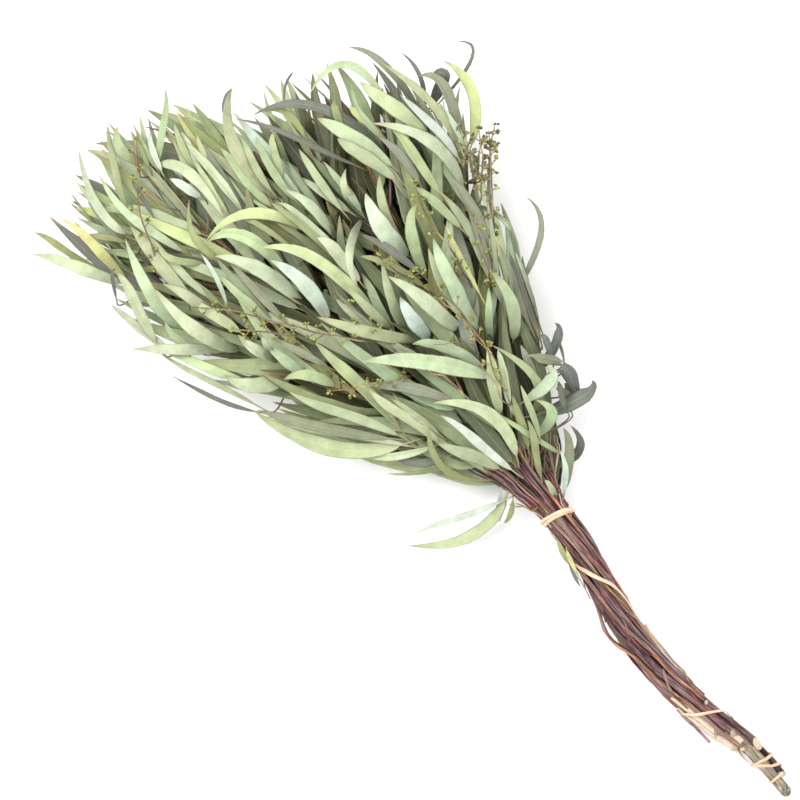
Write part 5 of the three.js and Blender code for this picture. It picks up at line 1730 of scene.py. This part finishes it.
def ribbon(points, turns, wide, thick, closed, seed, skin, slimmer=1.0):
    """A flat ribbon of fibres, ridged along its length, that faces away from the bundle."""
    draw = draws(13, seed)
    run = np.roll(points, -1, 0) - np.roll(points, 1, 0) if closed else np.gradient(points, axis=0)
    run = unit(run)
    out = np.stack([0 * turns, np.cos(turns), np.sin(turns)], -1)
    flat = unit(np.cross(out, run))
    rise = np.cross(run, flat)
    rise = rise * np.sign(np.sum(rise * out, axis=1))[:, None]
    sides = RIBBON_SIDES
    around = turns_round(sides)
    length = lengths_along(points)
    narrow = (1 + 0.12 * np.sin(length / 9 + draw(0, 6)) + 0.06 * np.sin(length / 3.1)) * slimmer
    ridges = 1 + 0.16 * np.cos(around * 5 + draw(0, 6))
    across = np.cos(around)[None, :, None] * (wide / 2 * narrow)[:, None, None]
    above = rise[:, None] * (np.sin(around) * ridges)[None, :, None] * (thick / 2)
    everything = (points[:, None] + flat[:, None] * across + above).reshape(-1, 3)
    grain = np.zeros((len(points) * sides, 3))
    grain[:, 0] = np.repeat(length, sides) + RIBBON_GRAIN * seed
    grain[:, 1] = np.tile(np.cos(around) * wide / 2, len(points))
    grain[:, 2] = np.tile(np.sin(around) * thick / 2, len(points))
    faces = rows_of_faces(len(points), sides)
    if closed:
        last = (len(points) - 1) * sides
        side = np.arange(sides)
        after = (side + 1) % sides
        ends = np.stack([last + side, last + after, after, side], -1)
    else:
        everything = np.concatenate([everything, points[:1], points[-1:]])
        grain = np.concatenate([grain, grain[:1], grain[-1:]])
        ends = fans(len(points), sides)
    skin.add(everything, [faces, ends], grain, FIBRE_TAN, [draw(), 0, 0, 0])


dry_fibre, tree, shader = surface("dry_fibre", 0.6, 0.4)
grain = value_of(tree, "grain", "Vector")
threads = stretched(tree, grain, (0.04, 3.2, 3.2), Detail=5.0, Roughness=0.6)
stains = stretched(tree, grain, (0.05, 0.3, 0.3), Detail=3.0)
own = value_of(tree, "tint", "Color")
shine = ramp(tree, threads, (0.3, 0.55), (0.5, 1.0), (0.72, 1.35))
threaded = blend_colours(tree, 1.0, own, shine, "MULTIPLY")
stained = blend_colours(tree, ramp(tree, stains, (0.4, 0.0), (0.75, 0.55)), threaded, FIBRE_STAIN)
tree.links.new(stained, shader.inputs["Base Color"])
tree.links.new(ramp(tree, threads, (0.3, 0.75), (0.7, 0.5)), shader.inputs["Roughness"])
relief = wire(tree, "Bump", {"Strength": 0.7, "Distance": 0.0003, "Height": threads})
tree.links.new(relief, shader.inputs["Normal"])

tie = Skin()
turns = turns_round(TIE_PLACES)
for seed, strand in enumerate(TIE_STRANDS):
    line = []
    for turn in turns:
        cos, sin = math.cos(turn), math.sin(turn)
        x = NECK_X + strand["shift"] + strand["tilt"] * cos + TIE_ARCH * sin
        line.append(tie_point(x, turn, TIE_THICK + strand["lift"] * (cos + 1)))
    ribbon(np.array(line), turns, TIE_WIDE, TIE_THICK, True, seed, tie)
tie.piece("tie_strands", "fibre", dry_fibre, nodes=["neck_tie"])

# Torn scraps of leaf are caught against the bundle just below the tie.
SCRAPS = [
    {"x": 256, "turn": 22, "down": 22, "out": 3.5, "half_width": 2.2, "tone": "olive"},
    {"x": 246, "turn": 34, "down": 20, "out": 4.0, "half_width": 2.0, "tone": "yellow"},
    {"x": 240, "turn": 12, "down": 24, "out": 4.5, "half_width": 2.4, "tone": "grey"},
    {"x": 234, "turn": 28, "down": 17, "out": 2.5, "half_width": 1.7, "tone": "light sage"},
]
SCRAP_ARCH = 1.2
scraps = Skin()
for index, scrap in enumerate(SCRAPS):
    turn = math.radians(scrap["turn"])
    away = np.array([0, math.cos(turn), math.sin(turn)])
    root = tie_point(scrap["x"], turn, 0.0)
    tip = tie_point(scrap["x"] - scrap["down"], turn, 0.0) + away * scrap["out"]
    belly = (root + tip) / 2 + away * SCRAP_ARCH
    # The scraps take no painted shade.
    leaf = {
        "root": root, "belly": belly, "tip": tip, "facing": unit(away + np.array([0, 0, 0.8])),
        "roll": 0.25 - 0.2 * index, "wind": 0.3, "half_width": scrap["half_width"],
        "owner": 0, "shown": root, "tone": scrap["tone"], "old": UNSHADED_LEAF,
    }
    add_leaf(scraps, leaf, 5000 + index)
scraps.piece("leaf_scraps", "leafy_stems", leaf_blade)

# ------------------------------------------------------------ the raffia strand
# One long split strand of raffia starts under the neck tie, runs slanting down
# the bundle and winds round the cut ends, where its end is tucked under.
# Its route: x, and the turn round the bundle in degrees.
RAFFIA_ROUTE = [
    (256, -75), (241, 0), (228, 42), (213, 90), (199, 135), (184, 166), (150, 180), (112, 190),
    (97, 350), (84, 450), (73, 540), (46, 660), (32, 720), (29.5, 810), (28, 900), (30, 990),
    (30, 1080), (25, 1170), (19, 1260), (15, 1350), (12.5, 1440), (12.3, 1530), (12, 1600),
]
RAFFIA_WIDE = 3.0
RAFFIA_THICK = 0.9
RAFFIA_END = 0.72  # the strand is this share as wide round the cut ends
RAFFIA_SLIMS = (60, 90)  # it widens from this x on, over this length
RAFFIA_PLACES = 620
route = even_curve(RAFFIA_ROUTE, RAFFIA_PLACES)
line = np.array([tie_point(x, math.radians(turn), RAFFIA_THICK) for x, turn in route])
line[:, 2] = np.maximum(line[:, 2], RAFFIA_THICK * 0.7)  # it rests on the table where it passes under
raffia = Skin()
slimmer = mix(RAFFIA_END, 1.0, smooth((route[:, 0] - RAFFIA_SLIMS[0]) / RAFFIA_SLIMS[1]))
ribbon(line, np.radians(route[:, 1]), RAFFIA_WIDE, RAFFIA_THICK, False, 4, raffia, slimmer)
raffia.piece("raffia", "fibre", dry_fibre, nodes=["raffia_strand"])

# ---------------------------------------------------- the table, light and camera
# The bunch lies on a plain white table in soft even light, and the camera looks
# straight down on it with a long lens, turned so that the tips point up and left.
CAMERA_HEIGHT = 5.0
FOCUS_HEIGHT = 0.06
PICTURE_POINTS = 800
SHOWN_WIDTH = PICTURE_POINTS * LEAF_FROM_PICTURE["millimetres"] / METRE
TABLE_HALF = 6
TABLE_WHITE = 0.95
ROOM_LIGHT = 1.1
table_mesh = bpy.data.meshes.new("table")
table_corners = [(x * TABLE_HALF, y * TABLE_HALF, 0) for x, y in ((-1, -1), (1, -1), (1, 1), (-1, 1))]
table_mesh.from_pydata(table_corners, [], [(0, 1, 2, 3)])
table = bpy.data.objects.new("table", table_mesh)
bpy.context.scene.collection.objects.link(table)
white, tree, shader = surface("white_table", 0.9, 0.1)
shader.inputs["Base Color"].default_value = (TABLE_WHITE, TABLE_WHITE, TABLE_WHITE, 1)
table_mesh.materials.append(white)

world = bpy.data.worlds.new("studio")
world.use_nodes = True
backdrop = world.node_tree.nodes["Background"]
backdrop.inputs["Color"].default_value = (1, 1, 1, 1)
backdrop.inputs["Strength"].default_value = ROOM_LIGHT
bpy.context.scene.world = world


def soft_box(name, at, aim, size, power):
    light = bpy.data.lights.new(name, "AREA")
    light.size = size
    light.energy = power
    lamp = bpy.data.objects.new(name, light)
    bpy.context.scene.collection.objects.link(lamp)
    lamp.location = at
    direction = np.array(aim, float) - np.array(at, float)
    lamp.rotation_mode = "QUATERNION"
    lamp.rotation_quaternion = Vector(direction).to_track_quat("-Z", "Y")
    lamp.visible_camera = False


soft_box("key_light", (1.1, 0.3, 2.2), (0, 0, 0.05), 1.2, 58)
soft_box("fill_light", (-1.2, -1.0, 1.8), (0, 0, 0.05), 1.6, 18)

camera_data = bpy.data.cameras.new("camera")
camera_data.lens = camera_data.sensor_width * (CAMERA_HEIGHT - FOCUS_HEIGHT) / SHOWN_WIDTH
camera = bpy.data.objects.new("camera", camera_data)
bpy.context.scene.collection.objects.link(camera)
middle = to_frame(np.array([*from_picture((PICTURE_POINTS / 2, PICTURE_POINTS / 2)), 0.0]))
camera.location = (middle[0], middle[1], CAMERA_HEIGHT)
along, across = LEAF_FROM_PICTURE["along"]
camera.rotation_euler = (0, 0, math.atan2(across, along))
bpy.context.scene.camera = camera
bpy.context.scene.view_settings.view_transform = "Standard"
